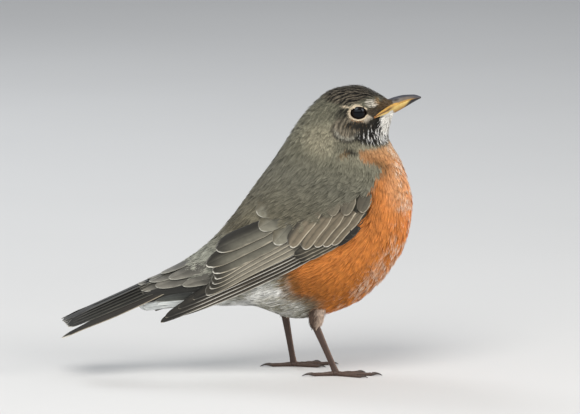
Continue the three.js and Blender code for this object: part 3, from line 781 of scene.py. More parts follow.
def vane(piece, surface, root, tip, webs, heights, paint, chart, bow=0.0, tilt=0.05, blunt=0.72, thick=0.12,
         taper=0.0):
    """One crisp feather: a thin closed blade with a raised shaft, between two places of a surface.

    webs are its widths below and above the shaft, tilt lifts the lower one, blunt is where the tip rounds
    off, and taper is the share of the width that is lost before that.
    """
    root, tip = np.array(root, float), np.array(tip, float)
    length = np.linalg.norm(tip - root)
    ahead = (tip - root) / length
    beside = np.array([-ahead[1], ahead[0]])
    t, u = np.meshgrid(VANE_ROWS, VANE_COLUMNS, indexing="ij")
    rounding = np.sqrt(np.maximum(0, 1 - (np.maximum(0, t - blunt) / (1 - blunt)) ** 2.2)) * 0.97 + 0.03
    web = np.where(u < 0, *webs) * mix(0.45, 1.0, ease(0.0, 0.35, t)) * rounding
    web *= 1 - taper * ease(0.6, 0.92, t)
    across = u * web
    place = root + ahead * (length * t)[..., None] + beside * (across + bow * 4 * t * (1 - t))[..., None]
    level = mix(*heights, t**0.8) - tilt * across + 0.06 * SHAFT * (1 - t)
    top = surface(place[..., 0], place[..., 1], level)
    under = surface(place[..., 0], place[..., 1], level - thick * mix(1, 0.5, t))
    colours = paint(t, u, np.minimum((1 - np.abs(u)) * web, (1 - t) * length), length)
    faces = blade_faces(t.shape)
    i, j = len(VANE_ROWS) // 2, len(VANE_COLUMNS) // 2
    normal = np.cross(top[i, j + 1] - top[i, j], top[i + 1, j] - top[i, j])
    if np.dot(normal, top[i, j] - under[i, j]) > 0:
        faces = faces[:, ::-1]
    low_u, low_v, high_u, high_v = chart
    spots = join(mix(low_u, high_u, t), mix(low_v, high_v, (u + 1) / 2)).reshape(-1, 2)
    points = np.concatenate((top, under)).reshape(-1, 3)
    # The sheet beneath is a darker copy: painted shade on the feather's underside.
    painted = np.concatenate((colours, colours * 0.7)).reshape(-1, 3)
    piece.add(points, painted, faces, np.concatenate((spots, spots))[faces])


# How a crisp feather is marked. web and dark are its colours below the shaft and above it, tip_dark how far
# the dark takes over at the tip, shade the depth and the reach in mm of the painted shadow that the
# feather over it casts on the lower web, edge and tip the colour and the width in mm of its rims, upper
# where across it the dark begins and ends, root how dark its root is, as painted shade under the
# feathers over it together with its own dark base, and where that ends, fade how much of the edge is
# lost near the tip, and tones how light the first and the last feather are.
Look = namedtuple("Look", "web dark tip_dark shade edge tip upper root fade tones",
                  defaults=((-0.05, 0.8), (0.7, 0.3), 0, (1, 1)))


def vane_paint(look, share, rng, lightness=1):
    """Colours of one crisp feather, whose pale rims are drawn with a strength of share or a little less."""
    tone = lightness * (1 + 0.16 * (rng.random() - 0.5))
    streaks = tone * (1 + 0.12 * (rng.random(len(VANE_COLUMNS)) - 0.5))
    mottle = 1 + 0.05 * rng.normal(size=(len(VANE_ROWS), len(VANE_COLUMNS)))
    share = share * rng.uniform(0.6, 1.0)

    def paint(t, u, edge, length):
        lower = 1 - ease(-0.15, 0.2, u)
        edge = edge + rng.normal(0, 0.07, edge.shape)
        c = blend(look.web, look.dark, np.maximum(ease(*look.upper, u), look.tip_dark * ease(0.7, 0.97, t)))
        depth, near, far = look.shade
        root, grown = look.root
        # The web's own streaks, mottle and darker shaft, and painted shadow of the feather over it on the
        # lower web.
        light = streaks * mottle * (1 - depth * lower * ease(near, far, edge)) * (1 - 0.25 * SHAFT)
        # The root darker: the feather's own base, and painted shade under the feathers over it.
        c = c * (light * mix(root, 1, ease(grown - 0.3, grown, t)))[..., None]
        colour, width = look.edge
        faded = 1 - look.fade * ease(0.78, 0.94, t)
        c = blend(c, colour, share * lower * faded * (1 - ease(width * 0.5, width, edge)))
        colour, width = look.tip
        near_tip = (1 - t) * length
        at_tip = 1 - ease(width * 0.6, width, np.minimum(near_tip, edge))
        at_tip *= (1 - ease(width * 3, width * 7, near_tip)) * (1 - 0.75 * ease(0.0, 0.5, u))
        return blend(c, colour, share * at_tip)

    return paint


DARK_WEB = rgb(44, 41, 34)
MID_WEB = rgb(104, 100, 88)
COVERT_WEB = rgb(114, 104, 87)
PALE_EDGE = rgb(182, 173, 154)
WHITE_EDGE = rgb(222, 219, 208)
BUFF_EDGE = rgb(204, 192, 168)

# A tract of the wing: its feathers' roots and tips in the wing's plan, from the lowest feather up, the
# widths of their webs, blunt, which is where their tips round off, and, for the lowest and the highest,
# heights of root and tip, bow, and share, which is how strong the rims are.
Tract = namedtuple("Tract", "roots tips webs heights bow blunt share look")
WING_TRACTS = {
    "primaries": Tract(
        [(22, -6.8), (28, -0.8)], [(123.5, -2.4), (134.4, -0.9), (131.0, 0.3), (122.0, 1.0), (112.5, 1.8)],
        (2.1, 5.0), ((-2.7, -1.4), (-1.9, -0.6)), (-1.6, 0.6), 0.62, (1, 1),
        Look(rgb(82, 74, 62), DARK_WEB * 0.5, 1.0, (0.8, 0.5, 1.1), (WHITE_EDGE, 0.36), (PALE_EDGE, 0.2),
             fade=0.9)),
    "primary_coverts": Tract(
        [(24, -8.5), (27, -3.5)], [(45, -7.6), (50, -5.6), (51.5, -3.4), (51, -1.4)],
        (1.6, 2.6), ((-1.2, -0.4), (-0.6, 0.1)), (0.4, 0.4), 0.7, (0.65, 0.65),
        Look(rgb(78, 73, 61), DARK_WEB * 0.7, 1.0, (0.5, 0.5, 1.1), (PALE_EDGE, 0.4), (MID_WEB, 0.3))),
    "secondaries": Tract(
        [(29, 0.4), (35, 10)], [(104.6, 1.0), (101.3, 3.1), (98.6, 5.2), (96.0, 7.2)],
        (2.6, 6.0), ((-1.5, -0.4), (-0.8, 0.3)), (1.2, 0.8), 0.82, (1, 0.9),
        Look(rgb(124, 119, 106), DARK_WEB, 0.95, (0.35, 1.3, 2.4), (PALE_EDGE * 1.1, 0.45),
             (WHITE_EDGE, 0.5))),
    # The tertials' dark reaches below the shaft: partly the dark upper web, partly painted shadow of the
    # tertial above.
    "tertials": Tract(
        [(40, 10.0), (43, 14.5), (46, 18.2)], [(95.3, 10.8), (96.8, 15.2), (87.2, 20.0)],
        (4.4, 4.5), ((-0.8, 0.5), (-0.4, 1.0)), (0.6, 0.7), 0.66, (0.9, 1),
        Look(rgb(106, 103, 91), DARK_WEB * 0.7, 0.85, (0.35, 1.4, 3.8), (PALE_EDGE, 0.45), (WHITE_EDGE, 0.7),
             upper=(-0.3, 0.5))),
    "alula": Tract(
        [(11, -6.2), (12, -5.2)], [(27, -8.6), (21.5, -7.8), (17.5, -7.0)],
        (1.5, 2.8), ((-0.7, 0.0), (-0.5, 0.2)), (-0.3, -0.3), 0.6, (0.5, 0.5),
        Look(BLACKISH, BLACKISH * 0.7, 1.0, (0.2, 0.5, 1.0), (MID_WEB, 0.3), (MID_WEB, 0.3))),
    "greater_coverts": Tract(
        [(5, 1), (9.5, 3.5), (14, 6.5), (20, 9.5), (26, 13)],
        [(29.8, -6.0), (34.0, -4.6), (38.5, -2.4), (44.8, -0.6), (50.6, 4.2)],
        (3.4, 4.8), ((-0.8, 0.2), (-0.4, 0.8)), (0.9, 0.9), 0.78, (0.8, 0.85),
        Look(COVERT_WEB, DARK_WEB * 1.3, 0.1, (0.45, 1.4, 3.6), (PALE_EDGE * 1.12, 0.6), (WHITE_EDGE, 0.5),
             upper=(0.2, 0.85), tones=(0.86, 1))),
    "median_coverts": Tract(
        [(-3, 7.5), (5, 12), (13, 15)], [(6.8, 1.6), (15.6, 4.6), (22.5, 8.2)],
        (3.5, 4.2), ((-1.2, 0.5), (-1.2, 0.5)), (0.3, 0.3), 0.5, (0.8, 0.4),
        Look(rgb(98, 92, 78), rgb(78, 72, 60), 0.0, (0.4, 1.5, 3.8), (PALE_EDGE, 0.5), (PALE_EDGE, 0.5),
             tones=(0.66, 1.05))),
    "scapulars": Tract(
        [(35, 17), (36.5, 21), (38, 25)], [(57.4, 9.4), (60.8, 20.4), (57.6, 28.0)],
        (5.2, 5.4), ((-1.6, 0.9), (-1.8, 0.8)), (0.2, 0.2), 0.5, (1, 0.7),
        Look(rgb(124, 121, 107), SCAPULAR * 0.7, 0.0, (0.25, 1.5, 4.0), (FRINGE_GREY, 0.4), (WHITE_EDGE, 0.5),
             root=(0.5, 0.8), tones=(0.88, 1))),
}
FLIGHT_TRACTS = ("primaries", "secondaries", "tertials")
COVERT_TRACTS = ("primary_coverts", "alula", "greater_coverts", "median_coverts", "scapulars")


def wing_feathers(side, tracts, name, nodes, slot_name, seed):
    """One wing's crisp feathers of the named tracts."""
    rng = np.random.default_rng(seed)
    made = Piece(f"{name}_{side}")
    full = wing(side)

    def surface(a, b, out):
        return full(a, np.minimum(b, smooth(WING_HIGH, a) + WING_TRIM[side]), out)

    row, total = 0, sum(len(WING_TRACTS[tract].tips) for tract in tracts)
    for tract in (WING_TRACTS[tract] for tract in tracts):
        for f, tip in zip(np.linspace(0, 1, len(tract.tips)), tract.tips):
            share, lightness, bow = (mix(*pair, f) for pair in (tract.share, tract.look.tones, tract.bow))
            root = read_off(np.linspace(0, 1, len(tract.roots)), tract.roots, f)
            tip = tip + rng.uniform(-0.2, 0.2, 2)
            vane(made, surface, root, tip, tract.webs, mix(*np.array(tract.heights), f),
                 vane_paint(tract.look, share, rng, lightness), map_row(row, total),
                 bow=bow, blunt=tract.blunt)
            row += 1
    made.build(["vane"], slot_name, *(f"{node}_{side}" for node in nodes))


def rectrix(sign, pair):
    """The surface of one tail feather: along its shaft, across it outwards, and out of its upper face."""
    f = pair / (TAIL_PAIRS - 1)
    root = np.array([TAIL_ROOT[0], mix(*TAIL_ROOT_SIDE, f), TAIL_ROOT[1] - TAIL_ROOT_DROP * f])
    tip = np.array([TAIL_TIP[0], mix(*TAIL_TIP_SIDE, f), TAIL_TIP[1] - TAIL_TIP_DROP * f**1.5])
    length = np.linalg.norm(tip - root)
    roll = mix(*TAIL_ROLL, f)
    outward = np.array([0, math.cos(roll), -math.sin(roll)])
    upward = np.array([0, math.sin(roll), math.cos(roll)])

    def surface(a, b, out):
        p = root + (tip - root) * (a / length)[..., None] + outward * b[..., None] + upward * out[..., None]
        p[..., 2] -= TAIL_LAYER * pair * mix(1, 0.4, ease(0.3, 1, a / length))
        return p * (1, sign, 1)

    return surface, length


TAIL_LOOK = Look(rgb(40, 40, 37), rgb(29, 28, 26), 0.6, (0.2, 0.8, 2.0), (rgb(92, 90, 80), 0.3),
                 (WHITE_EDGE, 0.45))
OUTER_LOOK = TAIL_LOOK._replace(web=rgb(42, 38, 33), edge=(BUFF_EDGE * 0.8, 0.5), tip=(WHITE_EDGE, 0.8))
OUTER_HANG = {"right": 5.0, "left": 1.2}  # how far outwards the tips of the outermost pair stand, in mm


def tail_feathers(seed):
    """Twelve tail feathers; the outermost pair hangs a little apart."""
    rng = np.random.default_rng(seed)
    made = Piece("tail_feathers")
    for side, sign in SIDES.items():
        for pair in range(TAIL_PAIRS):
            surface, length = rectrix(sign, pair)
            outer = pair == TAIL_PAIRS - 1
            marks = vane_paint(OUTER_LOOK if outer else TAIL_LOOK, 1.0, rng)

            def paint(t, u, edge, size, marks=marks):
                return marks(t, -u, edge, size)

            root, tip = (0, 0), (length - 0.7 * pair, 0)
            if outer and side == "right":
                root, tip = (0, 1.0), (length + 1.2, OUTER_HANG[side])
            elif outer:
                root, tip = (0, 0.5), (length - 0.7 * pair, OUTER_HANG[side])
            vane(made, surface, root, tip, (4.6, 2.4) if outer else (5.6, 3.2), (0.1, 0.5), paint,
                 map_row(pair * 2 + (sign > 0), 2 * TAIL_PAIRS), tilt=0.0, blunt=0.88, thick=0.25,
                 taper=0.55 if outer else 0.0)
    made.build(["vane"], "tail_feathers", "tail")


COVERT_LOOK = Look(TAIL_COVERT * 1.1, TAIL_COVERT * 0.85, 0.0, (0.3, 1.2, 3.0), (FRINGE_GREY, 0.5),
                   (rgb(186, 185, 175), 0.7), root=(0.55, 0.8))
SIDE_LOOK = COVERT_LOOK._replace(web=rgb(76, 78, 74), dark=rgb(60, 62, 60))
UNDER_LOOK = Look(rgb(226, 230, 228), rgb(206, 210, 208), 0.0, (0.3, 1.0, 2.6), (WHITE, 0.9), (WHITE, 1.2))


def covert_rows(name, seed, rows, middle, spacing, count, look, web, blunt, lift, crest=0.0):
    """Rows of crisp coverts round the root of the tail, from station to station, the rows staggered.

    spacing is the angle between neighbours, lift the height of their tips, crest what the middle ones add.
    """
    rng = np.random.default_rng(seed)
    made = Piece(name)
    for k, (root_s, tip_s) in enumerate(rows):
        for j in range(count):
            place = j - (count - 1) / 2 + 0.5 * (k % 2) - 0.25
            turn = middle + place * spacing + rng.uniform(-0.04, 0.04)
            root = face(root_s, middle + (turn - middle) * 0.8, 0.0)
            length = np.linalg.norm(face(tip_s, turn, 0.0) - root)
            left, right = (face(tip_s - 0.4, turn + across, 0.0) for across in (0.05, -0.05))
            around = np.linalg.norm(left - right) / 0.1

            def surface(a, b, out):
                f = a / length
                angle = middle + (turn - middle) * mix(0.8, 1, f) + b / around
                return face(mix(root_s, tip_s, f), angle, out)

            high = lift + crest * peak(turn, middle, 0.6) + 0.3 * rng.random()
            vane(made, surface, (0, 0), (length, 0), (web, web), (-0.9, high), vane_paint(look, 0.8, rng),
                 map_row(k * count + j, len(rows) * count), tilt=0.0, blunt=blunt)
    made.build(["vane"], "tail_feathers")


# ---------- materials ----------


def set_inputs(tree, node, inputs):
    """Sets a shader node's inputs to values, or joins them to outputs of other nodes."""
    for name, value in inputs.items():
        if isinstance(value, bpy.types.NodeSocket):
            tree.links.new(value, node.inputs[name])
        else:
            node.inputs[name].default_value = value


def add_node(tree, kind, inputs, output, **settings):
    """Adds a shader node and returns its named output."""
    node = tree.nodes.new(f"ShaderNode{kind}")
    for name, value in settings.items():
        setattr(node, name, value)
    set_inputs(tree, node, inputs)
    return node.outputs[output]


def add_noise(tree, scale, detail=3.0):
    """Noise fixed to the object, its size given in features to a metre."""
    where = add_node(tree, "TexCoord", {}, "Object")
    return add_node(tree, "TexNoise", {"Vector": where, "Scale": scale, "Detail": detail}, "Fac")


def plain_material(name, roughness):
    """A new material, its node tree and its shader."""
    material = bpy.data.materials.new(name)
    material.use_nodes = True
    shader = material.node_tree.nodes["Principled BSDF"]
    shader.inputs["Roughness"].default_value = roughness
    return material, material.node_tree, shader


def painted_material(name, roughness, patches, grain, low, high, depth, specular, **shine):
    """A material in the points' own colours, mottled in patches from low to high, with a fine grain."""
    material, tree, shader = plain_material(name, roughness)
    paint = add_node(tree, "Attribute", {}, "Color", attribute_name="plumage")
    mottle = add_node(tree, "MapRange", {"Value": add_noise(tree, patches), "From Min": 0.3, "From Max": 0.7,
                                         "To Min": low, "To Max": high}, "Result")
    colour = add_node(tree, "VectorMath", {"Vector": paint, "Scale": mottle}, "Vector", operation="SCALE")
    bump = add_node(tree, "Bump", {"Distance": depth, "Strength": 0.6, "Height": add_noise(tree, grain, 4.0)},
                    "Normal")
    set_inputs(tree, shader, {"Base Color": colour, "Normal": bump, "Specular IOR Level": specular, **shine})
    return material


SHEEN = "Sheen Weight"
CORNEA = {"Specular Tint": (0.72, 0.86, 1, 1)}
MATERIALS = {
    "coat": painted_material("soft_plumage", 0.85, 260, 2600, 0.9, 1.1, 0.00008, 0.2, **{SHEEN: 0.1}),
    "vane": painted_material("crisp_plumage", 0.62, 420, 3800, 0.9, 1.1, 0.00006, 0.3, **{SHEEN: 0.05}),
    "skin": painted_material("skin", 0.75, 500, 3000, 0.85, 1.1, 0.0001, 0.3),
    "leg": painted_material("leg_skin", 0.5, 900, 2600, 0.8, 1.15, 0.00012, 0.45),
    "bill": painted_material("bill_horn", 0.46, 420, 1800, 0.9, 1.08, 0.00004, 0.5),
    "claw": painted_material("claw_horn", 0.35, 900, 3000, 0.85, 1.1, 0.00003, 0.5),
    "eye": painted_material("eye", 0.06, 2500, 6000, 0.85, 1.1, 0.000001, 0.2, **CORNEA),
}

# ---------- coat ----------

TO_TAIL = (-0.87, 0, -0.49)
# Where the shoulder's soft feathers end, in the wing's plan.
SOFT_EDGE = [(-9, 3), (-2, 4), (3.6, 7), (8, 10.5), (12, 12.3), (17, 12), (20, 9.5), (28, 8.8), (37, 8.8),
             (46, 11.5), (51, 16), (55, 20.5), (58, 25), (62, 29)]


def flow(at):
    """The direction the coat lies in: back along the body, parting round the eye, level over the shoulder."""
    s, turn = at.T
    d = 0.02
    lie = unit(face(np.minimum(s + d, LAST), turn, 0.0) - face(np.maximum(s - d, 0), turn, 0.0))
    p = face(s, turn, 0.0)
    shoulder = ease(-6, 4, wing_inside(*wing_plan("right", p))) * ease(4.5, 6.5, s)
    lie = unit(mix(lie, TO_TAIL, 0.85 * shoulder[:, None]))
    away = unit((p - EYE) * (1, 0, 1))
    near = (1 - ease(1.3, 2.6, eye_distance(p)))[:, None]
    return unit(lie + near * away * (0.25 - 1.1 * np.minimum(dot(lie, away), 0)))


def is_bare(p):
    """The bare corner of the mouth, in the side view."""
    x, z = p[..., 0], p[..., 2]
    low = smooth(GAPE_LOW, x) - mix(0.45, 1.7, ease(46, 50, x))
    return (x > 41.2) & (z > low) & (z < smooth(GAPE_TOP, x) + 0.1)


def wing_places(root, tip, rng):
    """Which feathers lie clear of the wing or over its shoulder, and which are hidden deep beneath it."""
    over, hidden = np.ones(len(root), bool), np.zeros(len(root), bool)
    for side, sign in SIDES.items():
        here = root[:, 1] * sign > 0
        a, b = wing_plan(side, tip)
        b = b + rng.uniform(-1.2, 1.2, len(b))
        depth, low = wing_inside(a, b), smooth(WING_LOW, a)
        crisp = (depth > 0) & (b < smooth(SOFT_EDGE, a)) & (b > low + mix(1.8, 2.0, ease(20, 34, a)))
        crisp |= (depth > 1.8 - WING_TRIM[side]) & (a > 60) & (a < 90)
        crisp |= (depth > 1.8) & (a > 60)
        root_a, root_b = wing_plan(side, root)
        rooted = (wing_inside(root_a, root_b) > 0) & (root_a > 6) & (root_b < smooth(SOFT_EDGE, root_a) - 4)
        over &= ~(here & (crisp | rooted))
        hidden |= here & crisp & (b > low + 9) & (b < smooth(WING_HIGH, a) - 9) & (a < 72) & (a > 4)
    return over, hidden


def coat_region(name, s_range, turn_range, seed, strips, slot_name):
    """One piece of the coat: everything that grows between two stations and two angles."""
    rng = np.random.default_rng(seed)

    def gap(s, turn):
        return between(ROOT_GAP, s, turn) * mix(0.62, 1, ease(1.2, 2.2, eye_distance(face(s, turn, 0.0))))

    at = scatter(face, s_range, turn_range, gap, rng)
    s, turn = at.T
    aim = unit(flow(at) + rng.normal(0, 0.07, (len(at), 3)))
    root = face(s, turn, 0.0)
    near_eye = 1 - ease(1.15, 2.3, eye_distance(root))
    length = between(LENGTH, s, turn) * rng.uniform(0.82, 1.12, len(s)) * mix(1, 0.4, near_eye)
    along, _ = steps(face, at, aim)
    room = (LAST - 0.05 - s) / np.maximum(along[:, 0], 1e-6)
    length = np.minimum(length, np.maximum(room, 1.0))
    end = at + along * length[:, None]
    tip = face(np.clip(end[:, 0], 0, LAST), end[:, 1], 0.0)
    clear = (eye_distance(root) > 1.06) & (eye_distance(tip) > 1.1) & ~is_bare(root) & ~is_bare(tip)
    over, hidden = wing_places(root, tip, rng)
    size = np.array((length, between(HALF_WIDTH, s, turn) * mix(1, 0.7, near_eye), gap(s, turn)))
    depth = smooth(COAT_DEPTH, s) * mix(1, 0.4, near_eye)
    rise = between(TIP_RISE, s, turn) * mix(1, 0.15, near_eye)
    on_wing = ease(-3, 3, wing_inside(*wing_plan("right", tip))) * ease(4, 8, np.abs(tip[:, 1]))
    rise = mix(rise, np.maximum(rise, 1.5), on_wing)
    made = Piece(name)
    for surface, chosen in ((draped, clear & over), (face, clear & ~over & ~hidden)):
        if chosen.any():
            raised = rise[chosen] if surface is draped else 0.1
            lift = (-0.85 * depth[chosen], raised * rng.uniform(0.1, 1.0, chosen.sum()))
            tufts(made, surface, at[chosen], aim[chosen], size[:, chosen], lift, coat_paint, rng, strips,
                  ragged=0.1 if strips > 10 else 0.18)
    made.build(["coat"], slot_name)


HALF = math.pi / 2
COAT = [  # name, stations, angles from the ridge on the left or across it, strips, slot
    ("face", (0.12, 3.0), (0, math.pi), 6, "crown_plumage"),
    ("nape", (3.0, 5.2), (-HALF, HALF), 9, "neck_plumage"),
    ("throat", (3.0, 6.0), (HALF, math.pi), 9, "neck_plumage"),
    ("mantle", (5.2, 10.0), (0, HALF), 17, "neck_plumage"),
    ("breast", (6.0, 8.5), (HALF, math.pi), 17, "breast_plumage"),
    ("belly", (8.5, 11.5), (HALF, math.pi), 17, "breast_plumage"),
    ("rump", (10.0, 12.6), (-HALF, HALF), 15, "breast_plumage"),
    ("tail_coverts", (12.6, 14.3), (-HALF, HALF), 13, "breast_plumage"),
    ("under_tail", (11.5, 14.3), (HALF, 3 * HALF), 15, "breast_plumage"),
]


def coat():
    """All regions of the coat; one that lies on the left side alone is made on the right side too."""
    seed = 0
    for name, stations, (start, end), strips, slot_name in COAT:
        parts = {f"{name}_right": (-end, -start), f"{name}_left": (start, end)}
        if start < 0 or end > math.pi:
            parts = {name: (start, end)}
        for part, turns in parts.items():
            seed += 1
            coat_region(f"coat_{part}", stations, turns, seed, strips, slot_name)


def front_feathers(seed):
    """Short feathers that lie forward over the root of the bill: forehead, lores and chin."""
    rng = np.random.default_rng(seed)
    at = scatter(snout, (0.03, 1.0), (-math.pi, math.pi), lambda s, turn: np.full(len(s), 0.7), rng)
    s, turn = at.T
    aim = unit(np.array([1.0, 0.0, 0.25]) + rng.normal(0, 0.12, (len(at), 3)))
    length = between(([(0, 3.2), (1, 5.2)], [(0, 1.2), (1, 2.6)]), s, turn) * rng.uniform(0.8, 1.1, len(at))
    root = snout(s, turn, 0.0)
    bare = np.any([is_bare(root + f * length[:, None] * aim) for f in (0, 0.5, 1)], 0)
    at, aim, length = at[~bare], aim[~bare], length[~bare]
    made = Piece("coat_bill_root")
    every = np.ones(len(at))
    lift = (-0.4 * every, rng.uniform(0.15, 0.5, len(at)))
    tufts(made, snout, at, aim, (length, 0.42 * every, 0.8 * every), lift, coat_paint, rng, 5, 0.3)
    made.build(["coat"], "crown_plumage")


# ---------- legs ----------

LEG_DARK = rgb(64, 46, 38)
LEG_PALE = rgb(128, 104, 90)
CLAW_ROOT, CLAW_TIP = rgb(70, 56, 48), rgb(30, 24, 22)
THIGH = rgb(206, 184, 166)
SCUTES = 9
FLOOR_GAP = 0.02
CLAW_THIN = 0.28  # how high the axis of a claw's tip is


def tube_rings(centres, radii, sides):
    """Rings round a line of points: ellipses, with one axis level and one square to it and to the line."""
    ahead = unit(np.gradient(centres, axis=0))
    level = join(-ahead[:, 1], ahead[:, 0], 0)
    across = unit(np.where(np.abs(ahead[:, 2:]) > 0.8, (0.0, 1.0, 0.0), level))
    up = unit(np.cross(ahead, across))
    turn = circle(sides)
    return (centres[:, None] + across[:, None] * (radii[:, :1] * np.cos(turn))[..., None]
            + up[:, None] * (radii[:, 1:] * np.sin(turn))[..., None])


def above_floor(rings):
    """Rings with a flat where they would go through the floor."""
    rings[..., 2] = np.maximum(rings[..., 2], FLOOR_GAP)
    return rings


def on_side(side, x, y, z):
    """A point given for the left side, on the named side."""
    return np.array([x, SIDES[side] * y, z])


def thigh(side):
    """The feathered thigh as a surface: down it, round it, and out of it."""
    rise = on_side(side, *THIGH_RISE)
    top = on_side(side, *HEEL[side]) + rise
    ahead = unit(-rise)
    across = unit(np.array([0.0, 1.0, 0.0]) - ahead * ahead[1])
    up = np.cross(ahead, across)

    def surface(t, turn, out):
        radius = smooth(THIGH_RADIUS, t)
        return (top - rise * t[..., None] + across * ((radius * 0.85 + out) * np.cos(turn))[..., None]
                + up * ((radius + out) * np.sin(turn))[..., None])

    return surface


def shank_rings(side):
    """The bare shank: plated in front, with a groove down each side, dark with a paler front edge."""
    heel, ankle = on_side(side, *HEEL[side]), on_side(side, *FOOT[side], ANKLE)
    t = np.linspace(-0.06, 1, 90)
    centres = heel + (ankle - heel) * t[:, None]
    plate = ((t * SCUTES) % 1)[:, None]
    rings = tube_rings(centres, join(smooth(SHANK_SIDE, t), smooth(SHANK_FORE, t)) - 0.06, 28)
    out = unit(rings - centres[:, None])
    front = ease(0.1, 0.8, out[..., 0])
    groove = peak(out[..., 0], -0.15, 0.22)
    rings = rings + out * (0.07 * (1 - plate) * front + 0.05 - 0.16 * groove)[..., None]
    colours = blend(LEG_DARK, LEG_PALE, 0.75 * ease(0.55, 0.95, out[..., 0]))
    # Dark lines between the plates, and painted shade in the grooves.
    lines = np.maximum(peak(plate, 0.97, 0.05) * front, groove * 0.6)
    return rings, blend(colours, LEG_DARK * 0.5, 0.7 * lines)


def toe_place(side, angle, distance, height):
    """A point of a toe's axis, by its distance from the middle of the foot."""
    turn = SIDES[side] * (angle + FOOT_TURN)
    x, y = FOOT[side][0], SIDES[side] * FOOT[side][1]
    return join(x + math.cos(turn) * distance, y + math.sin(turn) * distance, height)


def toe_rings(side, name):
    """A toe: overlapping plates on top, swollen pads between its joints, flat where it rests."""
    angle, length, radius, joints, _ = TOES[name]
    t = np.linspace(0, 1, 64)
    size = radius * mix(1, 0.72, t) * (1 + 0.06 * np.cos(2 * math.pi * joints * t))
    size *= np.sqrt(np.clip((1.02 - t) / 0.07, 0.2, 1))
    distance = mix(HUB[0] * 0.5, HUB[0] + length, t)
    rings = tube_rings(toe_place(side, angle, distance, size * (1 - SOLE)), join(size, size), 20)
    out = unit(rings - rings.mean(1, keepdims=True))
    plate = ((t * 4 * joints + 0.3) % 1)[:, None]
    top = ease(0.0, 0.6, out[..., 2])
    rings = above_floor(rings + out * (0.06 * (1 - plate) * top)[..., None])
    colours = blend(LEG_DARK, LEG_PALE * 0.8, 0.45 * ease(-0.2, -0.9, out[..., 2]) + 0.2 * top)
    return rings, blend(colours, LEG_DARK * 0.45, 0.7 * peak(plate, 0.95, 0.08) * top)


def claw_rings(side, name):
    """A claw: it rises from the toe, arches over and comes down to a point."""
    angle, length, radius, _, claw = TOES[name]
    base = radius * 0.64
    t = np.linspace(0, 1, 24)
    height = np.maximum(CLAW_THIN, base + 0.2 + claw * (0.27 * t - 0.4 * t * t))
    centres = toe_place(side, angle, HUB[0] + length - 0.1 + (claw * 0.9 + 0.4) * t, height)
    rings = tube_rings(centres, base * join(mix(0.95, 0.12, t**1.3), mix(1.1, 0.14, t**1.3)), 12)
    return above_floor(rings), blend(CLAW_ROOT, CLAW_TIP, t)[:, None] + np.zeros_like(rings)


def hub_rings(side):
    """The pad that the toes spring from."""
    turn, ring = np.linspace(0.02, math.pi - 0.02, 14)[:, None], circle(18)
    x = FOOT[side][0] + HUB[0] * np.sin(turn) * np.cos(ring)
    y = SIDES[side] * FOOT[side][1] + HUB[1] * np.sin(turn) * np.sin(ring)
    rings = above_floor(join(x, y, HUB[2] * (1 - SOLE) - HUB[2] * np.cos(turn)))
    return rings, LEG_DARK * np.ones_like(rings)


def claws(side):
    """The four claws of one foot."""
    made = Piece(f"claws_{side}")
    for k, name in enumerate(TOES):
        made.grid(*claw_rings(side, name), map_row(k, len(TOES)))
    made.build(["claw"], "claw", *[f"claw_{name}_{side}" for name in TOES])


def thigh_paint(points, t, turn, blade):
    """The thigh's soft feathers: the belly's colours above, pale in front of the leg and dark behind it."""
    belly = blend(FLANK, BREAST_LOW, is_orange(points))
    before = ease(-0.4, 0.5, np.sin(turn) + 0.5 * (blade.tone - 0.5))
    c = blend(LEG_DARK, THIGH * 1.05, mix(0.1, 1, before)) * (1 + 0.5 * (blade.strip - 0.5)[..., None])
    above = 1 - ease(0.25, 0.5, t + 0.4 * (blade.tone - 0.5))
    c = blend(c, belly * (0.8 + 0.4 * blade.strip[..., None]), above)
    # Darker towards the root: the feathers' own dark bases, and painted shade under the feathers over them.
    return c * mix(1.0, 0.6, ease(0.3, 2.5, blade.shown))[..., None]


def thigh_coat(side, seed):
    """The soft feathers of one thigh."""
    rng = np.random.default_rng(seed)
    surface = thigh(side)

    def gap(t, turn):
        return smooth([(0, 1.8), (0.8, 1.1), (1.05, 0.8)], t)

    def on_thigh(t, turn):
        return join(0.05 + 0.85 * t, 0.5 + 0.45 * turn / math.pi)

    at = scatter(surface, (0.05, 1.02), (-math.pi, math.pi), gap, rng)
    count = len(at)
    aim = rng.normal(0, 1.5, (count, 3)) - on_side(side, *THIGH_RISE)
    length = smooth([(0, 9), (0.7, 6), (1.05, 4)], at[:, 0]) * rng.uniform(0.85, 1.1, count)
    width = smooth([(0, 1.8), (0.8, 1.1), (1.05, 0.6)], at[:, 0])
    lift = (np.full(count, -0.9), rng.uniform(0.0, 1.3, count))
    made = Piece(f"coat_thigh_{side}")
    tufts(made, surface, at, aim, (length, width, gap(*at.T)), lift, thigh_paint, rng, 9, 0.45, on_thigh)
    made.build(["coat"], "thigh_plumage")


# ---------- skin ----------

FLESH = ["head", "neck", "trunk", *[f"{part}_{side}" for part in ("thigh", "tarsus") for side in SIDES],
         *[f"toe_{name}_{side}" for name in TOES for side in SIDES]]
BARE = 1  # the material slot of the bare leg


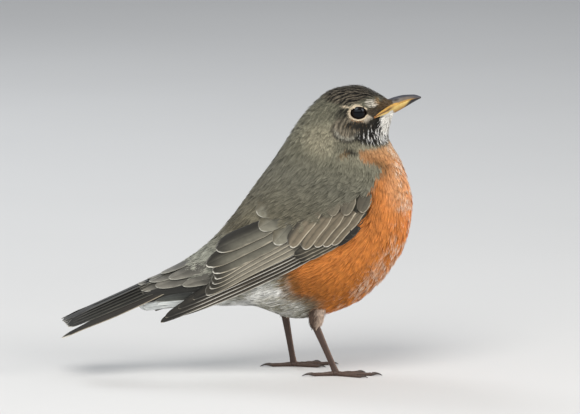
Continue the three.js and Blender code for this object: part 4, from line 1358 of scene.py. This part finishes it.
def skin():
    """One skin over the head, neck, trunk, wing arms, thighs, shanks and toes."""
    made = Piece("skin")
    stations = np.concatenate((np.arange(0, 4.5, 0.045), np.arange(4.5, LAST + 0.01, 0.1)))
    s, turn = np.meshgrid(stations, math.pi * (2 * np.arange(200) / 200 - 1), indexing="ij")
    reach = eye_distance(face(s, turn, 0.0))
    depth = smooth(COAT_DEPTH, s) * mix(0.5, 1, ease(1.2, 2.2, reach)) + 5.0 * ease(1.18, 0.92, reach)
    points = face(s, turn, -depth)
    even = SimpleNamespace(tone=0.5, strip=0.5)
    # The skin has the coat's markings, darkened as painted shade beneath the feathers.
    made.grid(points, plumage(points, s, turn, even) * 0.6, (0.02, 0.02, 0.96, 0.98))
    for k, side in enumerate(SIDES):
        low = 0.02 + 0.49 * k
        wing_arm(made, side, (0.962, low, 0.97, low + 0.4))
        rings = thigh(side)(np.linspace(0, 1.1, 24)[:, None], circle(28), -0.8)
        # The thigh's skin, darkened as painted shade beneath its feathers.
        made.grid(rings, THIGH * 0.6 * np.ones_like(rings), (0.972, low, 0.978, low + 0.2))
        bare = [(shank_rings(side), 0, 0.12), (hub_rings(side), 0.13, 0.03)]
        bare += [(toe_rings(side, name), 0.17 + 0.07 * j, 0.06) for j, name in enumerate(TOES)]
        for rings, above, tall in bare:
            made.grid(*rings, (0.98, low + above, 0.998, low + above + tall), BARE)
    made.build(["skin", "leg"], "breast_plumage", *FLESH)


def wing_arm(made, side, chart):
    """The flesh of the folded wing, under its coverts."""
    a, ring = np.linspace(-3, 64, 34)[:, None], circle(24)
    b = mix(smooth(WING_LOW, a) + 2.5, smooth(WING_HIGH, a) - 2.5, 0.5 + 0.5 * np.cos(ring))
    out = -3.1 + 0.9 * np.sin(ring) * np.minimum(1, (a + 3.5) / 6) * np.minimum(1, (65 - a) / 10)
    rings = wing(side)(a, b, out)
    # Darkened as painted shade beneath the coverts.
    made.grid(rings, MANTLE * 0.45 * np.ones_like(rings), chart)


# ---------- eyes and lids ----------

PUPIL, IRIS = rgb(8, 6, 6), rgb(18, 11, 8)
LID_DARK = rgb(20, 18, 17)
LID_START = 0.94  # where the lids' inner rim is, as a share of the opening


def eye_piece(side):
    """The eyeball: a dark brown iris round a black pupil, under a wet cornea."""
    made = Piece(f"eye_{side}_ball")
    tilt, ring = np.linspace(0.02, 0.64 * math.pi, 40)[:, None], circle(48)
    r = (EYE_RADIUS + 0.1) * np.sin(tilt) + 0 * ring
    y = EYE[1] + (EYE_DEPTH - 0.05) * np.cos(tilt)
    ball = join(EYE[0] - 0.2 + r * np.cos(ring), SIDES[side] * y, EYE[2] - 0.1 + r * np.sin(ring))
    rays = 1 + 0.2 * np.sin(ring * 23) * np.sin(ring * 7)
    made.grid(ball, blend(PUPIL, IRIS * rays[:, None], ease(2.4, 2.7, r) * (1 - ease(3.7, 4.4, r))))
    made.build(["eye"], "eye", f"eye_{side}")


def lids(side):
    """The bare rims of the eyelids, rolled over the eyeball, with a corner before and behind."""
    made = Piece(f"eyelids_{side}")
    ring, step = circle(96), np.linspace(0, 1, 16)[:, None]
    turned = np.angle(np.exp(1j * ring))
    corners = 1 + 0.08 * peak(turned, -0.12, 0.2) + 0.04 * peak(ring, math.pi, 0.2)
    size = mix(LID_START, 1.25, step) * corners
    x, z = LID_AT[0] + LID[0] * size * np.cos(ring), LID_AT[1] + LID[1] * size * np.sin(ring)
    rim_x = LID_AT[0] - EYE[0] + LID[0] * LID_START * np.cos(ring)
    rim_z = LID_AT[1] - EYE[2] + LID[1] * LID_START * np.sin(ring)
    on_ball = EYE[1] + EYE_DEPTH * np.sqrt(np.maximum(1 - (rim_x**2 + rim_z**2) / EYE_RADIUS**2, 0))
    on_head = body_side(x, z) + lid_swell(join(x, 0, z)) - 0.2
    roll = 0.34 * np.sin(math.pi * np.clip(step * 1.5, 0, 1))
    y = mix(on_ball - 0.1, on_head, ease(0.0, 0.75, step)) + roll
    folds = 0.05 * np.sin(step * 22) * np.minimum(1, step * 6) * (1 - step)
    lashes = 0.5 + 0.5 * np.sin(19 * ring + 2 * np.sin(5 * ring))
    colours = blend(LID_DARK, RING * 0.82, ease(0.26, 0.42, step + 0.1 * lashes))
    colours = colours * (1 - 0.55 * lashes * ease(0.35, 0.9, step))[..., None]
    for middle, half in ((0.1, 0.4), (0.98, 0.13)):
        colours = blend(colours, LORE * 0.6, peak(turned, middle, half, 4) * ease(0.05, 0.2, step))
    made.grid(join(x, SIDES[side] * (y + folds), z), colours, ends=False)
    made.build(["skin"], "crown_plumage")


# ---------- bill ----------

BILL_SLATE = rgb(54, 55, 64)
BILL_BROWN = rgb(96, 86, 77)
BILL_YELLOW = rgb(184, 140, 62)
BILL_PALE = rgb(206, 176, 104)
BILL_BLACK = rgb(26, 23, 24)
GAPE_ORANGE = rgb(168, 108, 44)
TIP_CURVE = 0.5  # how much higher than in the solids the horn's tip curves
BILL_SECTION = 0.92  # how full the bill's halves are towards the ridge and the keel
NOSTRIL = (54.6, 0.62)  # its x, and how far up from the mouth it is


def bill_width(level):
    """The share of the bill's half width at a cosine of the angle up from the mouth."""
    return 0.6 * level + 0.4 * level**3


def bill_half(node, edge, way, slot_name):
    """The upper half of the bill, with its nostrils, or the lower half."""
    made = Piece(f"{node}_horn")
    x, turn = mix(BILL_BASE - 1.5, BILL_TIP, np.linspace(0, 1, 90)[:, None] ** 0.85), circle(48)
    held = np.maximum(x, BILL_BASE)
    mouth = smooth(MOUTH, held) + way * 0.05
    rise = smooth(edge, held) + way * 0.1 - mouth
    mouth = mouth + TIP_CURVE * ease(58, BILL_TIP, held)
    up = np.maximum(np.sin(turn), 0)
    y = smooth(BILL_HALF, held) * bill_width(np.cos(turn))
    z = mouth + rise * up**BILL_SECTION + way * 0.25 * np.minimum(np.sin(turn), 0)
    if way > 0:
        nostril = np.exp(-((((x - NOSTRIL[0]) / 1.6) ** 2 + ((up - NOSTRIL[1]) / 0.12) ** 2) ** 2))
        y = y - np.sign(y) * 0.45 * nostril
        c = blend(BILL_YELLOW, BILL_BROWN, ease(0.06, 0.3, up))
        c = blend(c, BILL_SLATE, ease(0.5, 0.82, up))
        c = blend(c, BILL_SLATE, 0.9 * ease(61.5, 66.0, x))
        # The nostril painted black: painted shade in its hollow.
        c = blend(c, BILL_BLACK, nostril)
    else:
        c = blend(BILL_PALE, BILL_YELLOW * 0.85, ease(0.2, 0.9, up))
        c = blend(c, GAPE_ORANGE * 0.6, 0.7 * ease(0.7, 1.0, up))
        c = blend(c, BILL_BLACK, ease(60.5, 63.5, x + 3.0 * up))
    made.grid(join(x, y, z), c)
    made.build(["bill"], slot_name, node)


def bill_side(x, z):
    """How far the side of the bill stands from the middle plane."""
    held = np.maximum(x, BILL_BASE)
    mouth = smooth(MOUTH, held)
    reach = np.where(z > mouth, smooth(CULMEN, held) - mouth, mouth - smooth(GONYS, held))
    upright = np.clip(np.abs(z - mouth) / reach, 0, 1) ** (1 / BILL_SECTION)
    return smooth(BILL_HALF, held) * bill_width(np.sqrt(1 - upright**2))


def gape(side):
    """The soft yellow lips from the bill back to the corner of the mouth, with a fold between them."""
    made = Piece(f"gape_{side}")
    ring = circle(32)
    x = np.linspace(GAPE_LOW[0][0], GAPE_LOW[-1][0], 34)[:, None] + 0 * ring
    f = 0.5 - 0.5 * np.cos(ring)
    z = mix(smooth(GAPE_LOW, x), smooth(GAPE_TOP, x), f)
    base = mix(body_side(np.minimum(x, STATIONS[0][0] - 0.3), z), bill_side(x, z), ease(48, 52.5, x))
    outer = np.sin(ring)
    fold = peak(f, 0.45, 0.2) * (1 - ease(49.5, 54.5, x))
    swell = (0.5 * np.maximum(outer, 0) ** 0.6 - 0.4 * fold) * mix(0.7, 1, ease(41, 44, x))
    swell += 0.45 * ease(45, 48, x) * (1 - ease(52, 55, x)) - 0.5 * ease(52.5, 56.5, x)
    y = base + np.where(outer > 0, swell, 1.2 * outer)
    lips = blend(blend(BILL_PALE, BILL_YELLOW, ease(0.3, 0.8, f)), GAPE_ORANGE, 1 - ease(41, 44.5, x))
    # Painted shade darkens the fold between the lips.
    made.grid(join(x, SIDES[side] * y, z), blend(lips, GAPE_ORANGE * 0.25, fold))
    made.build(["bill"], "lower_bill")


# ---------- stage ----------

AZIMUTH, ELEVATION, DISTANCE = math.radians(-6), math.radians(8), 3.0
AIM = (-5.7, 0, 94.2)  # what the camera looks at
LENS = 109.86  # the lens's focal length in mm, for each metre of distance
LAMP_AIM = (0.02, 0, 0.09)
FLOOR_REACH = 30


def aim_at(obj, target):
    """Turns a camera or lamp towards a place."""
    obj.rotation_mode = "QUATERNION"
    obj.rotation_quaternion = (Vector(target) - obj.location).to_track_quat("-Z", "Y")


def camera():
    """A long lens on the bird's right side, a little behind it and a little above it."""
    data = bpy.data.cameras.new("camera")
    data.sensor_width = 36
    data.lens = LENS * DISTANCE
    data.clip_start, data.clip_end = 0.1, 100
    made = linked("camera", data)
    target = Vector((AIM + FRAME_SHIFT) * MM)
    back = Vector((math.sin(AZIMUTH), -math.cos(AZIMUTH), math.tan(ELEVATION))) * math.cos(ELEVATION)
    made.location = target + back * DISTANCE
    aim_at(made, target)
    bpy.context.scene.camera = made


def floor():
    """A pale floor, with faint patches."""
    mesh = bpy.data.meshes.new("floor")
    corners = [(x * FLOOR_REACH, y * FLOOR_REACH, 0) for x, y in ((-1, -1), (1, -1), (1, 1), (-1, 1))]
    mesh.from_pydata(corners, [], [(0, 1, 2, 3)])
    material, tree, shader = plain_material("studio_floor", 0.9)
    patches = {"Value": add_noise(tree, 3), "To Min": 0.62, "To Max": 0.66}
    set_inputs(tree, shader, {"Base Color": add_node(tree, "MapRange", patches, "Result")})
    mesh.materials.append(material)
    linked("floor", mesh)


def lamp(name, place, size, power, tint):
    """A soft light aimed at the bird; size is its width and height."""
    data = bpy.data.lights.new(name, "AREA")
    data.shape = "ELLIPSE"
    data.size, data.size_y = size
    data.energy = power
    data.color = tint
    made = linked(name, data)
    made.location = place
    aim_at(made, LAMP_AIM)


def lights():
    """Soft light as from an overcast sky, stronger from above and from the camera's side."""
    world = bpy.data.worlds.new("studio")
    world.use_nodes = True
    sky = world.node_tree.nodes["Background"]
    set_inputs(world.node_tree, sky, {"Color": (0.88, 0.91, 0.95, 1), "Strength": 0.5})
    bpy.context.scene.world = world
    lamp("key", (-0.45, -1.1, 1.5), (1.2, 1.2), 23, (1.0, 0.97, 0.92))
    lamp("fill", (-0.1, -1.7, 0.8), (2.8, 0.6), 9, (1.0, 0.965, 0.91))
    lamp("front", (1.3, -0.7, 0.8), (0.8, 0.8), 10, (1.0, 0.965, 0.91))
    lamp("rim", (-0.6, 1.2, 1.2), (0.8, 0.8), 8, (0.93, 0.97, 1.0))
    bpy.context.scene.view_settings.view_transform = "Standard"


# ---------- assembly ----------

camera()
lights()
floor()
skin()
bill_half("bill_upper", CULMEN, 1, "upper_bill")
bill_half("bill_lower", GONYS, -1, "lower_bill")
for side in SIDES:
    eye_piece(side)
    lids(side)
    gape(side)
    claws(side)
coat()
front_feathers(seed=30)
for k, side in enumerate(SIDES):
    thigh_coat(side, seed=40 + k)
    wing_feathers(side, FLIGHT_TRACTS, "flight_feathers", ("wing_secondaries", "wing_primaries"),
                  "flight_feathers", seed=60 + k)
    wing_feathers(side, COVERT_TRACTS, "wing_covert_feathers", ("wing_coverts",), "wing_coverts",
                  seed=70 + k)
tail_feathers(seed=80)
covert_rows("upper_tail_coverts", 81, [(10.6, 12.4), (11.5, 13.2), (12.4, 14.0), (13.1, 14.8)], 0.0, 0.54, 5,
            COVERT_LOOK, 4.2, 0.6, 0.6, crest=1.2)
covert_rows("under_tail_coverts", 82, [(11.9, 13.6), (12.4, 14.2), (12.9, 14.7), (13.2, 14.95)], math.pi,
            0.42, 7, UNDER_LOOK, 3.2, 0.45, 0.5)
for k, (side, sign) in enumerate(SIDES.items()):
    covert_rows(f"tail_base_{side}", 84 + k, [(11.4, 14.5), (12.0, 14.95)], sign * 1.36, 0.2, 2,
                TAIL_LOOK, 2.2, 0.8, 0.9)
    covert_rows(f"tail_side_{side}", 86 + k, [(11.7, 13.6)], sign * 1.7, 0.2, 1, SIDE_LOOK, 2.6, 0.6, 0.9)
